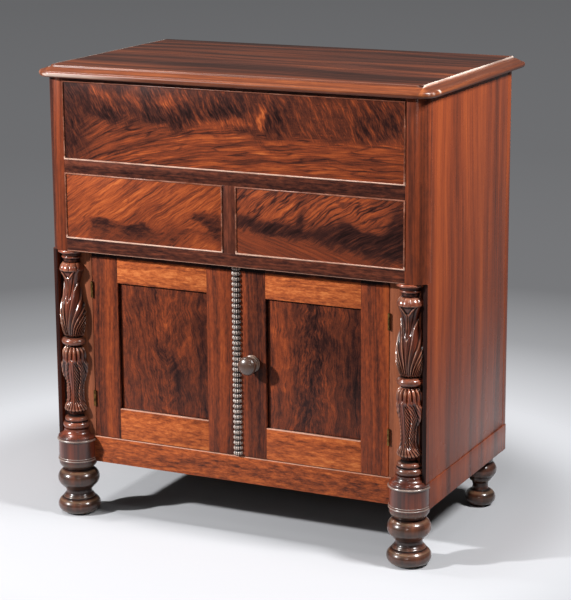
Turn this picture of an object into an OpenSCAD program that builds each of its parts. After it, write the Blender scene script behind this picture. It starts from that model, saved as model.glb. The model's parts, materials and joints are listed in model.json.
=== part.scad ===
/* [Case] */
// Width of the case across its corner posts
case_w = 900; // [820:10:1000]
// Depth of the case from the drawer faces to the back
case_d = 500; // [440:10:560]
// Height of the case top above the floor
case_top = 1000; // [960:5:1050]
// Thickness of the side panels
side_t = 20; // [18:1:24]
// Thickness of the back boards
back_t = 12; // [8:1:16]
// Width of the rear stiles, seen from the side
rear_stile_w = 22; // [18:1:30]
// Height of the rear rail that carries the lid hinges
hinge_rail_h = 80; // [60:5:110]
// Thickness of the hinge rail
hinge_rail_t = 24; // [20:1:30]

/* [Upper front] */
// Width of a corner post, seen from the front
post_w = 45.5; // [40:0.5:54]
// Depth of a corner post, seen from the side
post_d = 33; // [28:1:38]
// Radius of a post's rounded outer corner
post_r = 30; // [12:1:32]
// Height of the thin rail under the lid
top_rail_h = 6; // [4:1:12]
// Height of the rail behind the top of the large blind front
top_rail_back_h = 34; // [24:1:44]
// Height of the opening behind the large blind front
upper_front_h = 173.4; // [150:0.2:190]
// Height of the rail between the two rows of blind fronts
middle_rail_h = 29.6; // [24:0.2:34]
// Height of the openings behind the two small blind fronts
lower_front_h = 146.6; // [130:0.2:160]
// Height of the waist rail over the doors
waist_rail_h = 28.8; // [26:0.2:34]
// Width of the muntin between the small blind fronts
muntin_w = 30.6; // [24:0.2:40]
// Thickness of the blind fronts
front_t = 14; // [10:1:18]
// Thickness of the front rails
rail_t = 20; // [18:1:26]
// Depth of the waist rail's lower ledge
waist_ledge_d = 62; // [56:1:80]
// Width of a cockbead
bead_w = 3; // [2:0.2:4]
// Distance a cockbead stands proud of the front
bead_proud = 2.5; // [1.6:0.1:4]

/* [Lower front] */
// Setback of the doors and stiles behind the upper front
recess = 28; // [26:1:34]
// Thickness of the stiles, doors and plinth rails
frame_t = 20; // [18:1:24]
// Distance of a door's outer edge from the outside of the case
door_margin = 91.4; // [90:0.2:110]
// Setback of a side panel's front edge behind the upper front
side_edge_set = 15; // [12:1:20]
// Width of a side panel's front edge
side_edge_w = 9.5; // [6:0.5:9.5]

/* [Plinth and feet] */
// Height of a foot
foot_h = 124; // [118:1:134]
// Height of the plinth rails
plinth_h = 60; // [50:1:70]
// Distance a side plinth rail stands proud of its side panel
plinth_proud = 1.5; // [0:0.5:4]
// Radius of the drum over a front foot
drum_r = 43.5; // [40:0.5:46]
// Depth of the drum's axis behind the upper front
drum_set = 25.6; // [22:0.2:27]
// Largest radius of a front foot's lower ring
foot_r = 48.5; // [44:0.5:48.5]
// Largest radius of a rear foot's lower ring
rear_foot_r = 35; // [30:0.5:40]
// Distance of a rear foot's axis in front of the case back
rear_foot_in = 50; // [42:1:70]
// Distance of a rear foot's axis from the outside of the case
rear_foot_side_in = 40; // [36:1:60]
// Height of the cap over a drum
cap_h = 16; // [12:1:20]

/* [Columns] */
// Largest radius of a column's round top
abacus_r = 31.5; // [28:0.5:32]
// Thickness of a column's round top
abacus_h = 7.6; // [6:0.2:10]
// Largest radius of a column's base ring
base_ring_r = 32; // [28:0.5:32]
// Largest radius of the ring between the two tiers of leaves
middle_ring_r = 29.5; // [26:0.5:31]
// Height of that ring above the column's foot
middle_ring_up = 204; // [190:2:216]
// Radius of a column's plain necks beside the rings
neck_r = 18.5; // [16:0.5:20]
// Radius of the leaves at their narrowest
waist_r = 20; // [18:0.5:22]
// Radius over the leaf tips at the top
top_tip_r = 30; // [27:0.5:31]
// Radius over the leaf tips at the foot
foot_tip_r = 27.5; // [25:0.5:29]
// Radius over the full leaves above the middle ring
belly_r = 30.5; // [27:0.5:31]
// Steps of the carved outline round the front half of a column
carve_steps = 36; // [24:6:48]

/* [Lid] */
// Thickness of the lid
lid_t = 24; // [22:1:28]
// Overhang of the lid at the front
lid_front_over = 23; // [23:1:32]
// Overhang of the lid at each end
lid_side_over = 18; // [14:1:26]
// Overhang of the lid at the back
lid_back_over = 36; // [30:1:36]
// Radius of the lid's front corners
lid_corner_r = 44; // [38:1:60]
// Width of the moulded band round the lid's top
lid_band_w = 28; // [22:1:34]
// Drop of the moulded band below the flat top
lid_band_drop = 4; // [2:0.5:6]
// Gap between the case and the lid, filled by the hinges and the rest pads
lid_gap = 2.5; // [2.4:0.1:4]
// Width of a batten under the lid
batten_w = 60; // [40:5:90]
// Thickness of a batten
batten_t = 18; // [14:1:24]
// Half distance between the two battens
batten_half = 250; // [180:10:320]

/* [Doors] */
// Half distance between the two door panels
panel_in = 71; // [64:0.5:80]
// Width of a door's outer stile
outer_stile_w = 64; // [54:1:74]
// Height of a door's top rail
door_top_rail_h = 68; // [56:1:80]
// Height of a door's bottom rail
door_bottom_rail_h = 70; // [58:1:84]
// Setback of a door panel behind the face of its frame
panel_set = 7; // [5:0.5:9]
// Thickness of a door panel
panel_t = 6; // [5:0.5:8]
// Depth of a panel's tongue in its groove
tongue = 8; // [6:0.5:10]
// Radius of the ring-turned astragal
astragal_r = 10; // [8:0.5:11]
// Number of turned rings on the astragal
ring_count = 36; // [24:1:44]
// Depth of the grooves between the rings
ring_groove = 2.6; // [1.5:0.1:3.5]
// Place of the meeting gap, from the middle of the case
meeting_x = -9.1; // [-12:0.1:-6]

/* [Door hardware] */
// Width of a door stop
stop_w = 40; // [30:2:60]
// Half distance between the two door stops
stop_half = 120; // [90:5:200]
// Radius of a hinge knuckle
knuckle_r = 3; // [2.6:0.1:3.6]
// Radius of a hinge pin
pin_r = 1.3; // [1:0.1:1.6]
// Height of a butt hinge
hinge_h = 36; // [30:1:44]
// Depth of a hinge leaf
leaf_d = 17; // [14:1:17]
// Thickness of a hinge leaf
leaf_t = 1.4; // [1.2:0.1:1.6]
// Distance of each hinge's middle from the end of the door
hinge_in = 88; // [70:1:110]
// Setback of the hinge axis behind the door face, negative in front
hinge_axis_set = -2.2; // [-2.6:0.1:-1.8]
// Radius of the knob
knob_r = 20; // [16:0.5:22]
// Distance the knob stands out from the door
knob_out = 38; // [34:1:44]
// Place of the knob's axis, from the middle of the case
knob_x = 38; // [34:0.5:42]
// Height of the knob's axis above the floor
knob_z = 399; // [380:1:420]
// Radius of the knob's shank through the door
shank_r = 5; // [4:0.5:6]
// Length of the latch bar from the knob's axis
latch_len = 66; // [60:1:80]
// Width of the latch bar
latch_w = 18; // [14:1:20]
// Thickness of the latch bar
latch_t = 5.5; // [4:0.5:7]
// Place of the bolt on the left door, from the middle of the case
bolt_x = -40; // [-52:1:-30]
// Radius of the bolt
bolt_r = 2.5; // [2:0.1:3]
// Travel of the bolt
bolt_travel = 10; // [8:0.5:10]

/* [Lid hardware] */
// Half distance between the two lid hinges
lid_hinge_half = 300; // [220:10:340]
// Length of a lid hinge
lid_hinge_w = 64; // [50:2:80]
// Thickness of a lid hinge leaf
lid_leaf_t = 1.1; // [0.9:0.1:1.1]
// Depth of a lid hinge leaf on the case
lid_leaf_d = 22; // [18:1:24]
// Radius of a rest pad
pad_r = 6; // [4:1:8]

/* [Well and cupboard] */
// Thickness of the well floor
well_floor_t = 18; // [14:1:18]
// Thickness of the cupboard floor
cupboard_floor_t = 18; // [14:1:22]
// Drop of the joint between the two back boards below the well floor
back_joint_drop = 60; // [40:5:90]
// Height of the metal liner's walls
liner_h = 110; // [60:5:160]
// Thickness of the metal liner
liner_t = 1.2; // [0.8:0.1:2]
// Gap between the liner and the well's walls
liner_gap = 2; // [0.5:0.5:6]

/* [Clearances] */
// Gap round each door
door_gap = 2; // [1.6:0.2:3]
// Gap between the two doors, and half that beside each hinge
meeting_gap = 1.2; // [1:0.1:2]
// Radial clearance of a part that turns or slides in a bore
running = 0.05; // [0.02:0.01:0.1]
// Clearance between parts that only pass each other
passing = 0.3; // [0.2:0.1:0.5]

/* [Hidden] */
$fn = 64;
case_half = case_w / 2;
post_in = case_half - post_w;
inner_x = case_half - side_t;
door_half = case_half - door_margin;
y_shift = -(case_d + lid_back_over - lid_front_over) / 2;
upper_z1 = case_top - top_rail_h;
upper_z0 = upper_z1 - upper_front_h;
lower_z1 = upper_z0 - middle_rail_h;
lower_z0 = lower_z1 - lower_front_h;
waist_z = lower_z0 - waist_rail_h;
plinth_top = foot_h + plinth_h;
plinth_x = case_half + plinth_proud;
drum_x = plinth_x - drum_r;
column_z = plinth_top + cap_h;
column_h = waist_z - column_z;
column_base_h = 32;
column_top_h = 28;
ring_half = 11;
frame_back = recess + frame_t;
back_y = case_d - back_t;
well_floor_z = lower_z0 - well_floor_t;
lid_z = case_top + lid_gap;
lid_top = lid_z + lid_t;
lid_half = case_half + lid_side_over;
door_z0 = plinth_top + door_gap;
door_z1 = waist_z - door_gap;
opening_z0 = door_z0 + door_bottom_rail_h;
opening_z1 = door_z1 - door_top_rail_h;
opening_out = door_half - outer_stile_w;
seam = meeting_gap + 0.4;
stile_in = door_half + seam;
hinge_x = door_half + seam / 2;
hinge_y = recess + hinge_axis_set;
hinge_low = door_z0 + hinge_in;
hinge_high = door_z1 - hinge_in;
right_edge = meeting_x + meeting_gap / 2;
left_edge = -(meeting_x - meeting_gap / 2);
astragal_x = right_edge + astragal_r;
groove_w = panel_t + 0.2;
groove_y = recess + panel_set - 0.1;
lid_axis_y = case_d + knuckle_r + 0.5;
lid_axis_z = case_top + lid_gap / 2;
bolt_y = frame_back + 1.5 + bolt_r + 1.1;
bolt_top = waist_z - 3.3;
guide_h = 8;
guide_w = 12;
stop_h = 12;
plate_h = 70;
rear_foot_x = case_half - rear_foot_side_in;

wood = [0.42, 0.17, 0.09];
light_wood = [0.62, 0.33, 0.17];
plain_wood = [0.60, 0.46, 0.30];
bead_wood = [0.55, 0.30, 0.20];
brass = [0.72, 0.56, 0.25];

// Points of an arc, from angle a0 to a1, in n steps
function arc(cx, cy, r, a0, a1, n = 8) =
    [for (i = [0 : n]) [cx + r * cos(a0 + (a1 - a0) * i / n), cy + r * sin(a0 + (a1 - a0) * i / n)]];

// Moves a piece from the front plane's frame to the part's own frame
module place() translate([0, y_shift, 0]) children();

// Draws the right-hand piece as it is, or its mirror image on the left
module on_side(side) {
    if (side > 0) children();
    else mirror([1, 0, 0]) children();
}

// A board given by its two opposite corners
module board(a, b) translate(a) cube(b - a);

// Case sides and back
module side_panel(side) color(wood) place() on_side(side) {
    difference() {
        translate([0, 0, plinth_top]) linear_extrude(case_top - plinth_top) polygon([
            [inner_x, recess], [case_half - side_edge_w, recess],
            [case_half - side_edge_w, side_edge_set], [case_half, side_edge_set],
            [case_half, case_d - rear_stile_w], [inner_x, case_d - rear_stile_w]
        ]);
        board([inner_x - 1, 0, waist_z], [case_half + 1, post_d, case_top + 1]);
    }
}
module rear_stile(side) color(wood) place() on_side(side)
    board([inner_x, case_d - rear_stile_w, plinth_top], [case_half, case_d, case_top]);
module corner_post(side) color(wood) place() on_side(side)
    translate([0, 0, waist_z]) linear_extrude(case_top - waist_z) polygon(concat(
        [[post_in, post_d], [post_in, 0]],
        arc(case_half - post_r, post_r, post_r, -90, 0, 12),
        [[case_half, post_d]]
    ));
module lower_back_board() color(plain_wood) place()
    board([-inner_x, back_y, plinth_top], [inner_x, case_d, well_floor_z - back_joint_drop]);
module upper_back_board() color(plain_wood) place()
    board([-inner_x, back_y, well_floor_z - back_joint_drop], [inner_x, case_d, case_top - hinge_rail_h]);
module hinge_rail() color(wood) place()
    board([-inner_x, case_d - hinge_rail_t, case_top - hinge_rail_h], [inner_x, case_d, case_top]);

// Rails and blind fronts of the upper case
module top_front_rail() color(wood) place() {
    board([-post_in, 0, upper_z1], [post_in, post_d, case_top]);
    board([-post_in, front_t, upper_z1 - top_rail_back_h], [post_in, post_d, upper_z1]);
}
module middle_rail() color(wood) place()
    board([-post_in, 0, lower_z1], [post_in, rail_t, upper_z0]);
module center_muntin() color(wood) place()
    board([-muntin_w / 2, 0, lower_z0], [muntin_w / 2, rail_t, lower_z1]);
module waist_rail() color(wood) place() difference() {
    union() {
        board([-post_in, 0, waist_z], [post_in, rail_t, lower_z0]);
        board([-post_in, rail_t, waist_z], [post_in, waist_ledge_d, well_floor_z]);
    }
    translate([bolt_x, bolt_y, waist_z - 1])
        cylinder(r = bolt_r + 2 * passing, h = well_floor_z - waist_z + 2);
}
module blind_front(x0, x1, z0, z1) color(light_wood) place()
    board([x0 + bead_w, 0, z0 + bead_w], [x1 - bead_w, front_t, z1 - bead_w]);

// A cockbead is four mitred bars with a rounded nose
module bead_bar(length) {
    nose = bead_w / 2;
    intersection() {
        rotate([90, 0, 90]) linear_extrude(length) polygon(concat(
            [[front_t, 0]], arc(nose - bead_proud, nose, nose, -90, -270, 8), [[front_t, bead_w]]
        ));
        rotate([90, 0, 0]) translate([0, 0, -front_t - 1]) linear_extrude(front_t + bead_proud + 2)
            polygon([[0, 0], [length, 0], [length - bead_w, bead_w], [bead_w, bead_w]]);
    }
}
module cockbead(x0, x1, z0, z1) color(bead_wood) place() {
    width = x1 - x0;
    height = z1 - z0;
    translate([x0, 0, z0]) bead_bar(width);
    translate([x0, 0, z1]) mirror([0, 0, 1]) bead_bar(width);
    translate([x0, 0, z1]) rotate([0, 90, 0]) bead_bar(height);
    translate([x1, 0, z0]) rotate([0, -90, 0]) bead_bar(height);
}

// Stiles and plinth of the lower case
module front_stile(side) color(light_wood) place() on_side(side) difference() {
    board([stile_in, recess, plinth_top], [inner_x, frame_back, waist_z]);
    for (z = [hinge_low, hinge_high]) {
        case_leaf_cut(z);
        knuckle_cut(z);
    }
}
module front_plinth_rail() color(light_wood) place()
    board([-plinth_x + frame_t, recess, foot_h], [plinth_x - frame_t, frame_back, plinth_top]);
module side_plinth_rail(side) color(wood) place() on_side(side)
    board([plinth_x - frame_t, recess, foot_h], [plinth_x, case_d, plinth_top]);
module rear_plinth_rail() color(plain_wood) place()
    board([-plinth_x + frame_t, case_d - frame_t, foot_h], [plinth_x - frame_t, case_d, plinth_top]);
module cupboard_floor() color(plain_wood) place()
    board([-plinth_x + frame_t, frame_back, plinth_top - cupboard_floor_t],
        [plinth_x - frame_t, case_d - frame_t, plinth_top]);
module door_stops() color(plain_wood) place() for (x = [-1, 1])
    translate([x * stop_half, 0, 0])
        board([-stop_w / 2, frame_back + passing, waist_z - stop_h],
            [stop_w / 2, waist_ledge_d - 2, waist_z]);

// The drum over a front foot is a half turning, planed flat on the stile
module drum(side) color(wood) place() on_side(side) difference() {
    intersection() {
        translate([drum_x, drum_set, 0]) rotate_extrude() polygon(concat(
            [[0, foot_h], [drum_r, foot_h], [drum_r, plinth_top - 5]],
            arc(drum_r - 1.6, plinth_top - 2.3, 2.3, -40, 90, 6),
            arc(drum_r - 0.5, plinth_top + cap_h - 1, cap_h - 3, 256, 190, 8),
            [[drum_r - 13.6, plinth_top + cap_h - 3], [drum_r - 13.6, column_z], [0, column_z]]
        ));
        board([drum_x - 2 * drum_r, -drum_r, foot_h - 1], [drum_x + 2 * drum_r, recess, column_z + 1]);
    }
    board([case_half - side_edge_w - passing, side_edge_set - passing, plinth_top],
        [case_half + drum_r, recess + 1, column_z + 1]);
}

// The feet are full turnings under the plinth
module front_foot(side) color(wood) place() on_side(side)
    translate([drum_x, drum_set, 0]) rotate_extrude() polygon(concat(
        [[0, 0], [foot_r - 15, 0]],
        arc(foot_r - 18, 19.5, 18, -78, 72, 14),
        [[foot_r - 12, 39.5], [foot_r - 14.5, 41.5]],
        arc(foot_r - 9.5, 51, 9.6, 235, 125, 10),
        arc(25.6, 83, 22, -50, 72, 14),
        [[33, 105.5], [34.5, 107]],
        arc(drum_r - 12.2, foot_h - 3, 12, -68, 0, 8),
        [[drum_r - 0.2, foot_h], [0, foot_h]]
    ));
module rear_foot(side) color(wood) place() on_side(side)
    translate([rear_foot_x, case_d - rear_foot_in, 0]) rotate_extrude() polygon(concat(
        [[0, 0], [rear_foot_r - 11, 0]],
        arc(rear_foot_r - 18, 20, 18, -72, 78, 14),
        [[rear_foot_r - 16, 41], [rear_foot_r - 17.3, 46]],
        arc(rear_foot_r - 5.3, 50, 12, 178, 118, 8),
        arc(17, 86, 20, -50, 60, 12),
        [[29, 107], [29, foot_h], [0, foot_h]]
    ));

// Carved stretches of a column: stations of [radius over the leaves, share of the way up
// the stretch, depth between two leaves, sharpness of the leaves, depth of the fine ribs]
lower_carving = [
    [neck_r - 3, 0, 0.4, 1, 0], [neck_r + 1.5, 0.03, 1, 1, 0], [foot_tip_r - 1.5, 0.052, 6, 2, 0.6],
    [foot_tip_r, 0.074, 6.5, 1, 1], [foot_tip_r - 2, 0.115, 5, 0.8, 1.2], [waist_r + 2.4, 0.19, 4, 0.7, 0.8],
    [waist_r + 1.2, 0.31, 2.6, 0.6, 0.6], [waist_r + 2.6, 0.48, 2.6, 0.6, 0.8],
    [belly_r - 5.3, 0.64, 2.6, 0.6, 1], [belly_r - 2.6, 0.755, 3, 0.7, 1.2],
    [belly_r - 2.2, 0.79, 2.6, 0.8, 1.8], [belly_r - 3.9, 0.85, 1.2, 0.8, 2.4],
    [belly_r - 6.1, 0.933, 0.8, 0.6, 2.2], [neck_r + 1.4, 0.972, 0.4, 0.8, 1.4], [neck_r - 3, 1, 0.2, 1, 0]
];
upper_carving = [
    [neck_r - 3, 0, 0.2, 1, 0], [neck_r + 2, 0.03, 0.8, 0.8, 1], [belly_r - 4.8, 0.1, 1.2, 0.6, 2],
    [belly_r - 1.2, 0.2, 1.4, 0.6, 2.4], [belly_r, 0.29, 1.6, 0.6, 2.6], [belly_r - 2.4, 0.44, 1.8, 0.7, 2.6],
    [waist_r + 3.6, 0.6, 1, 0.8, 2.4], [waist_r + 1.6, 0.69, 0.6, 0.8, 2.6], [waist_r + 1, 0.735, 1, 0.8, 1.6],
    [waist_r - 0.4, 0.765, 3, 0.7, 0.6], [waist_r + 1.8, 0.822, 3.4, 0.7, 0.4],
    [top_tip_r - 4.2, 0.872, 4.6, 0.7, 0.4], [top_tip_r, 0.912, 6, 0.8, 0.4],
    [top_tip_r - 1.2, 0.937, 6.5, 1.4, 0.4], [waist_r + 3.5, 0.96, 3, 3, 0], [neck_r - 3, 1, 0.2, 1, 0]
];
// Levels from z0 to z1, eased between the stations so that the outline swells smoothly
function eased(a, b, t) = a + (b - a) * (1 - cos(180 * t)) / 2;
function levels(stations, z0, z1, n = 2) = [
    for (k = [0 : len(stations) - 2], i = [0 : k < len(stations) - 2 ? n - 1 : n])
        let (a = stations[k], b = stations[k + 1], t = i / n)
        [eased(a[0], b[0], t), z0 + (z1 - z0) * (a[1] + (b[1] - a[1]) * t),
            eased(a[2], b[2], t), eased(a[3], b[3], t), eased(a[4], b[4], t)]
];
// Leaves stand every 60 degrees beside a furrow down the front, with finer ribs between
function carved_radius(level, angle, ribs) =
    level[0] - level[2] * (1 - pow(abs(sin(3 * angle)), level[3]))
        - level[4] * (1 - abs(cos(ribs * (90 - angle))));
function carved_ring(level, back, ribs) = [
    for (i = [-1 : carve_steps + 1])
        let (angle = -90 + 180 * min(max(i, 0), carve_steps) / carve_steps,
            r = carved_radius(level, angle, ribs), edge = sqrt(r * r - back * back))
        i < 0 ? [-edge, back, level[1]]
            : i > carve_steps ? [edge, back, level[1]]
            : [r * sin(angle), -r * cos(angle), level[1]]
];
module carved(stations, z0, z1, ribs) {
    rings = levels(stations, z0, z1);
    count = carve_steps + 3;
    top = (len(rings) - 1) * count;
    polyhedron(
        points = [for (level = rings) each carved_ring(level, recess - drum_set, ribs)],
        faces = concat(
            [[for (i = [0 : count - 1]) i]],
            [[for (i = [count - 1 : -1 : 0]) top + i]],
            [for (k = [0 : len(rings) - 2], i = [0 : count - 1])
                let (a = k * count + i, b = k * count + (i + 1) % count)
                each [[a, a + count, b], [b, a + count, b + count]]]
        ));
}
module turned(points) intersection() {
    rotate_extrude() polygon(points);
    board([-2 * base_ring_r, -2 * base_ring_r, -1], [2 * base_ring_r, recess - drum_set, column_h + 1]);
}
module column(side) color(wood) place() translate([side * drum_x, drum_set, column_z]) {
    ring_low = middle_ring_up - ring_half;
    ring_high = middle_ring_up + ring_half;
    top_low = column_h - column_top_h;
    turned(concat(
        [[0, 0], [base_ring_r - 3.5, 0]],
        arc(base_ring_r - 8.8, 8.8, 8.8, -70, 66, 10),
        [[base_ring_r - 6, 17.6]],
        arc(base_ring_r - 9.2, 22.6, 5, -70, 70, 8),
        [[neck_r, column_base_h - 2.8], [neck_r, column_base_h], [0, column_base_h]]
    ));
    carved(lower_carving, column_base_h - 1, ring_low + 1, 9);
    turned(concat(
        [[0, ring_low], [neck_r + 0.5, ring_low]],
        arc(middle_ring_r - 8, middle_ring_up, 8, -66, 66, 10),
        [[neck_r + 0.5, ring_high], [0, ring_high]]
    ));
    carved(upper_carving, ring_high - 1, top_low + 1, 6);
    turned(concat(
        [[0, top_low], [neck_r + 1, top_low], [neck_r + 1, column_h - 20]],
        arc(neck_r + 2.7, column_h - 17.5, 2.6, -70, 90, 6),
        arc(abacus_r - 3.5, column_h - 13.8, 6, 180, 100, 6),
        arc(abacus_r - abacus_h / 2, column_h - abacus_h / 2, abacus_h / 2, -80, 90, 8),
        [[0, column_h]]
    ));
}

// Well and liner
module well_floor() color(plain_wood) place() translate([0, 0, well_floor_z])
    linear_extrude(well_floor_t) polygon([
        [-post_in, rail_t], [post_in, rail_t], [post_in, post_d], [inner_x, post_d],
        [inner_x, back_y], [-inner_x, back_y], [-inner_x, post_d], [-post_in, post_d]
    ]);
module well_liner() color([0.62, 0.63, 0.64]) place() {
    x = inner_x - liner_gap;
    y0 = post_d + liner_gap;
    y1 = case_d - hinge_rail_t - liner_gap;
    difference() {
        board([-x, y0, lower_z0], [x, y1, lower_z0 + liner_h]);
        board([-x + liner_t, y0 + liner_t, lower_z0 + liner_t],
            [x - liner_t, y1 - liner_t, lower_z0 + liner_h + 1]);
    }
}

// Lid with an ogee edge along the front and both ends
lid_profile = concat(
    [[0, lid_z], [lid_corner_r - 4, lid_z]],
    arc(lid_corner_r - 7, lid_z + 7, 7, -58, 48, 10),
    [for (i = [0 : 6])
        let (t = i / 6, x = lid_corner_r - 3 - (lid_band_w - 6) * t)
        [x, lid_z + 13 + (lid_t - lid_band_drop - 13) * (1 - cos(180 * t)) / 2]],
    [[lid_corner_r - lid_band_w + 1.2, lid_top - lid_band_drop]],
    arc(lid_corner_r - lid_band_w - 1, lid_top - 2, 2, 0, 90, 5),
    [[0, lid_top]]
);
module lid_panel() color(wood) place() {
    cx = lid_half - lid_corner_r;
    cy = lid_corner_r - lid_front_over;
    back = case_d + lid_back_over;
    difference() {
        union() {
            board([-cx, cy, lid_z], [cx, back, lid_top]);
            translate([-cx, cy, 0]) rotate([90, 0, 90]) linear_extrude(2 * cx)
                mirror([1, 0]) polygon(lid_profile);
            for (side = [-1, 1]) on_side(side) {
                translate([cx, back, 0]) rotate([90, 0, 0]) linear_extrude(back - cy)
                    polygon(lid_profile);
                translate([cx, cy, 0]) rotate([0, 0, -90])
                    rotate_extrude(angle = 90) polygon(lid_profile);
            }
        }
        for (x = [-1, 1]) translate([x * lid_hinge_half, 0, 0])
            board([-lid_hinge_w / 2 - 1, case_d - passing, lid_z - 1],
                [lid_hinge_w / 2 + 1, lid_axis_y + knuckle_r + 1.4, lid_axis_z + knuckle_r + 1]);
    }
}
module lid_battens() color(wood) place() for (x = [-1, 1])
    translate([x * batten_half, 0, 0])
        board([-batten_w / 2, post_d + 27, lid_z - batten_t],
            [batten_w / 2, case_d - hinge_rail_t - 36, lid_z]);
module lid_rest_pads() color([0.25, 0.12, 0.07]) place() for (x = [-1, 1])
    translate([x * (post_in + 14), post_d / 2 + 2, case_top])
        cylinder(r = pad_r, h = lid_gap - passing);

// Lid hinges: a pin fixed in the outer knuckles, and a leaf that turns on it
module lid_knuckle(x0, x1) translate([x0, lid_axis_y, lid_axis_z]) rotate([0, 90, 0])
    cylinder(r = knuckle_r, h = x1 - x0);
module lid_hinge_case_leaves() color(brass) place() for (x = [-1, 1])
    translate([x * lid_hinge_half, 0, 0]) {
        end = lid_hinge_w / 2;
        knuckle = lid_hinge_w / 3;
        difference() {
            union() {
                board([-end, case_d - lid_leaf_d, case_top],
                    [end, lid_axis_y - 1, case_top + lid_leaf_t]);
                lid_knuckle(-end, -end + knuckle - passing / 2);
                lid_knuckle(end - knuckle + passing / 2, end);
            }
            board([-end + knuckle - passing / 2, case_d + passing, case_top - 5],
                [end - knuckle + passing / 2, lid_axis_y + 9, case_top + 9]);
        }
        translate([-end, lid_axis_y, lid_axis_z]) rotate([0, 90, 0])
            cylinder(r = pin_r, h = lid_hinge_w);
    }
module lid_hinge_lid_leaves() color(brass) place() for (x = [-1, 1])
    translate([x * lid_hinge_half, 0, 0]) {
        end = lid_hinge_w / 2;
        half = lid_hinge_w / 6 - passing / 2;
        difference() {
            union() {
                board([-end, case_d - lid_leaf_d, lid_z - lid_leaf_t], [end, case_d - passing, lid_z]);
                board([-half, case_d - lid_leaf_d, lid_z - lid_leaf_t], [half, lid_axis_y - 1, lid_z]);
                lid_knuckle(-half, half);
            }
            translate([-end, lid_axis_y, lid_axis_z]) rotate([0, 90, 0])
                cylinder(r = pin_r + running, h = lid_hinge_w);
        }
    }

// Butt hinges of the doors, drawn for the right-hand door
module knuckle(z0, z1) translate([hinge_x, hinge_y, z0]) cylinder(r = knuckle_r, h = z1 - z0);
module knuckle_cut(z) translate([hinge_x, hinge_y, z - hinge_h / 2 - passing])
    cylinder(r = knuckle_r + passing, h = hinge_h + 2 * passing);
module case_leaf_cut(z)
    board([stile_in - 1, recess - 1, z - hinge_h / 2], [hinge_x + 0.2 + leaf_t, hinge_y + leaf_d, z + hinge_h / 2]);
module door_leaf_cut(z)
    board([hinge_x - 0.2 - leaf_t, recess - 1, z - hinge_h / 2], [door_half + 1, hinge_y + leaf_d, z + hinge_h / 2]);
module butt_case_leaf(z) {
    third = hinge_h / 6;
    difference() {
        union() {
            board([hinge_x + 0.2, hinge_y, z - hinge_h / 2],
                [hinge_x + 0.2 + leaf_t, hinge_y + leaf_d, z + hinge_h / 2]);
            knuckle(z - hinge_h / 2, z - third - passing / 2);
            knuckle(z + third + passing / 2, z + hinge_h / 2);
        }
        translate([hinge_x, hinge_y, z - third - passing / 2])
            cylinder(r = knuckle_r + passing, h = 2 * third + passing);
    }
    translate([hinge_x, hinge_y, z - hinge_h / 2]) cylinder(r = pin_r, h = hinge_h);
}
module butt_door_leaf(z) {
    third = hinge_h / 6 - passing / 2;
    difference() {
        union() {
            difference() {
                board([hinge_x - 0.2 - leaf_t, hinge_y, z - hinge_h / 2],
                    [hinge_x - 0.2, hinge_y + leaf_d, z + hinge_h / 2]);
                for (e = [-1, 1]) translate([hinge_x, hinge_y, z + e * hinge_h / 2])
                    cylinder(r = knuckle_r + passing, h = hinge_h - 2 * third, center = true);
            }
            knuckle(z - third, z + third);
        }
        translate([hinge_x, hinge_y, z - hinge_h / 2 - 1]) cylinder(r = pin_r + running, h = hinge_h + 2);
    }
}
module door_hinge_case_leaves() color(brass) place()
    for (side = [-1, 1], z = [hinge_low, hinge_high]) on_side(side) butt_case_leaf(z);
module door_hinge_leaves(side) color(brass) place() on_side(side) {
    butt_door_leaf(hinge_low);
    butt_door_leaf(hinge_high);
}

// Door frames: stiles run the full height, rails and panel are grooved into them
module groove(x0, x1, z0, z1)
    board([x0 - tongue - 1, groove_y, z0 - tongue - 1], [x1 + tongue + 1, groove_y + groove_w, z1 + tongue + 1]);
module door_groove() groove(panel_in, opening_out, opening_z0, opening_z1);
module outer_stile(side) color(wood) place() on_side(side) difference() {
    board([opening_out, recess, door_z0], [door_half, frame_back, door_z1]);
    door_groove();
    for (z = [hinge_low, hinge_high]) {
        door_leaf_cut(z);
        knuckle_cut(z);
    }
}
module meeting_stile(side) color(wood) place() on_side(side) difference() {
    board([side > 0 ? right_edge : left_edge, recess, door_z0], [panel_in, frame_back, door_z1]);
    door_groove();
    if (side > 0) translate([knob_x, recess - 1, knob_z]) rotate([-90, 0, 0])
        cylinder(r = shank_r + running, h = frame_t + 2);
}
module door_top_rail(side) color(light_wood) place() on_side(side) difference() {
    board([panel_in, recess, opening_z1], [opening_out, frame_back, door_z1]);
    door_groove();
}
module door_bottom_rail(side) color(light_wood) place() on_side(side) difference() {
    board([panel_in, recess, door_z0], [opening_out, frame_back, opening_z0]);
    door_groove();
}
module door_panel(side) color(light_wood) place() on_side(side)
    board([panel_in - tongue, recess + panel_set, opening_z0 - tongue],
        [opening_out + tongue, recess + panel_set + panel_t, opening_z1 + tongue]);

// The astragal is half of a ring-turned spindle
module astragal() color(wood) place() {
    pitch = (door_z1 - door_z0) / ring_count;
    low = astragal_r - ring_groove;
    intersection() {
        translate([astragal_x, recess, door_z0]) rotate_extrude() polygon(concat(
            [[0, 0]],
            [for (k = [0 : ring_count - 1], i = [0 : 5])
                let (t = i / 5) [low + ring_groove * pow(sin(180 * t), 0.6), pitch * (k + t * 0.999)]],
            [[0, pitch * (ring_count - 0.001)]]
        ));
        board([astragal_x - 20, recess - 20, door_z0 - 1], [astragal_x + 20, recess, door_z1 + 1]);
    }
}

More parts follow.
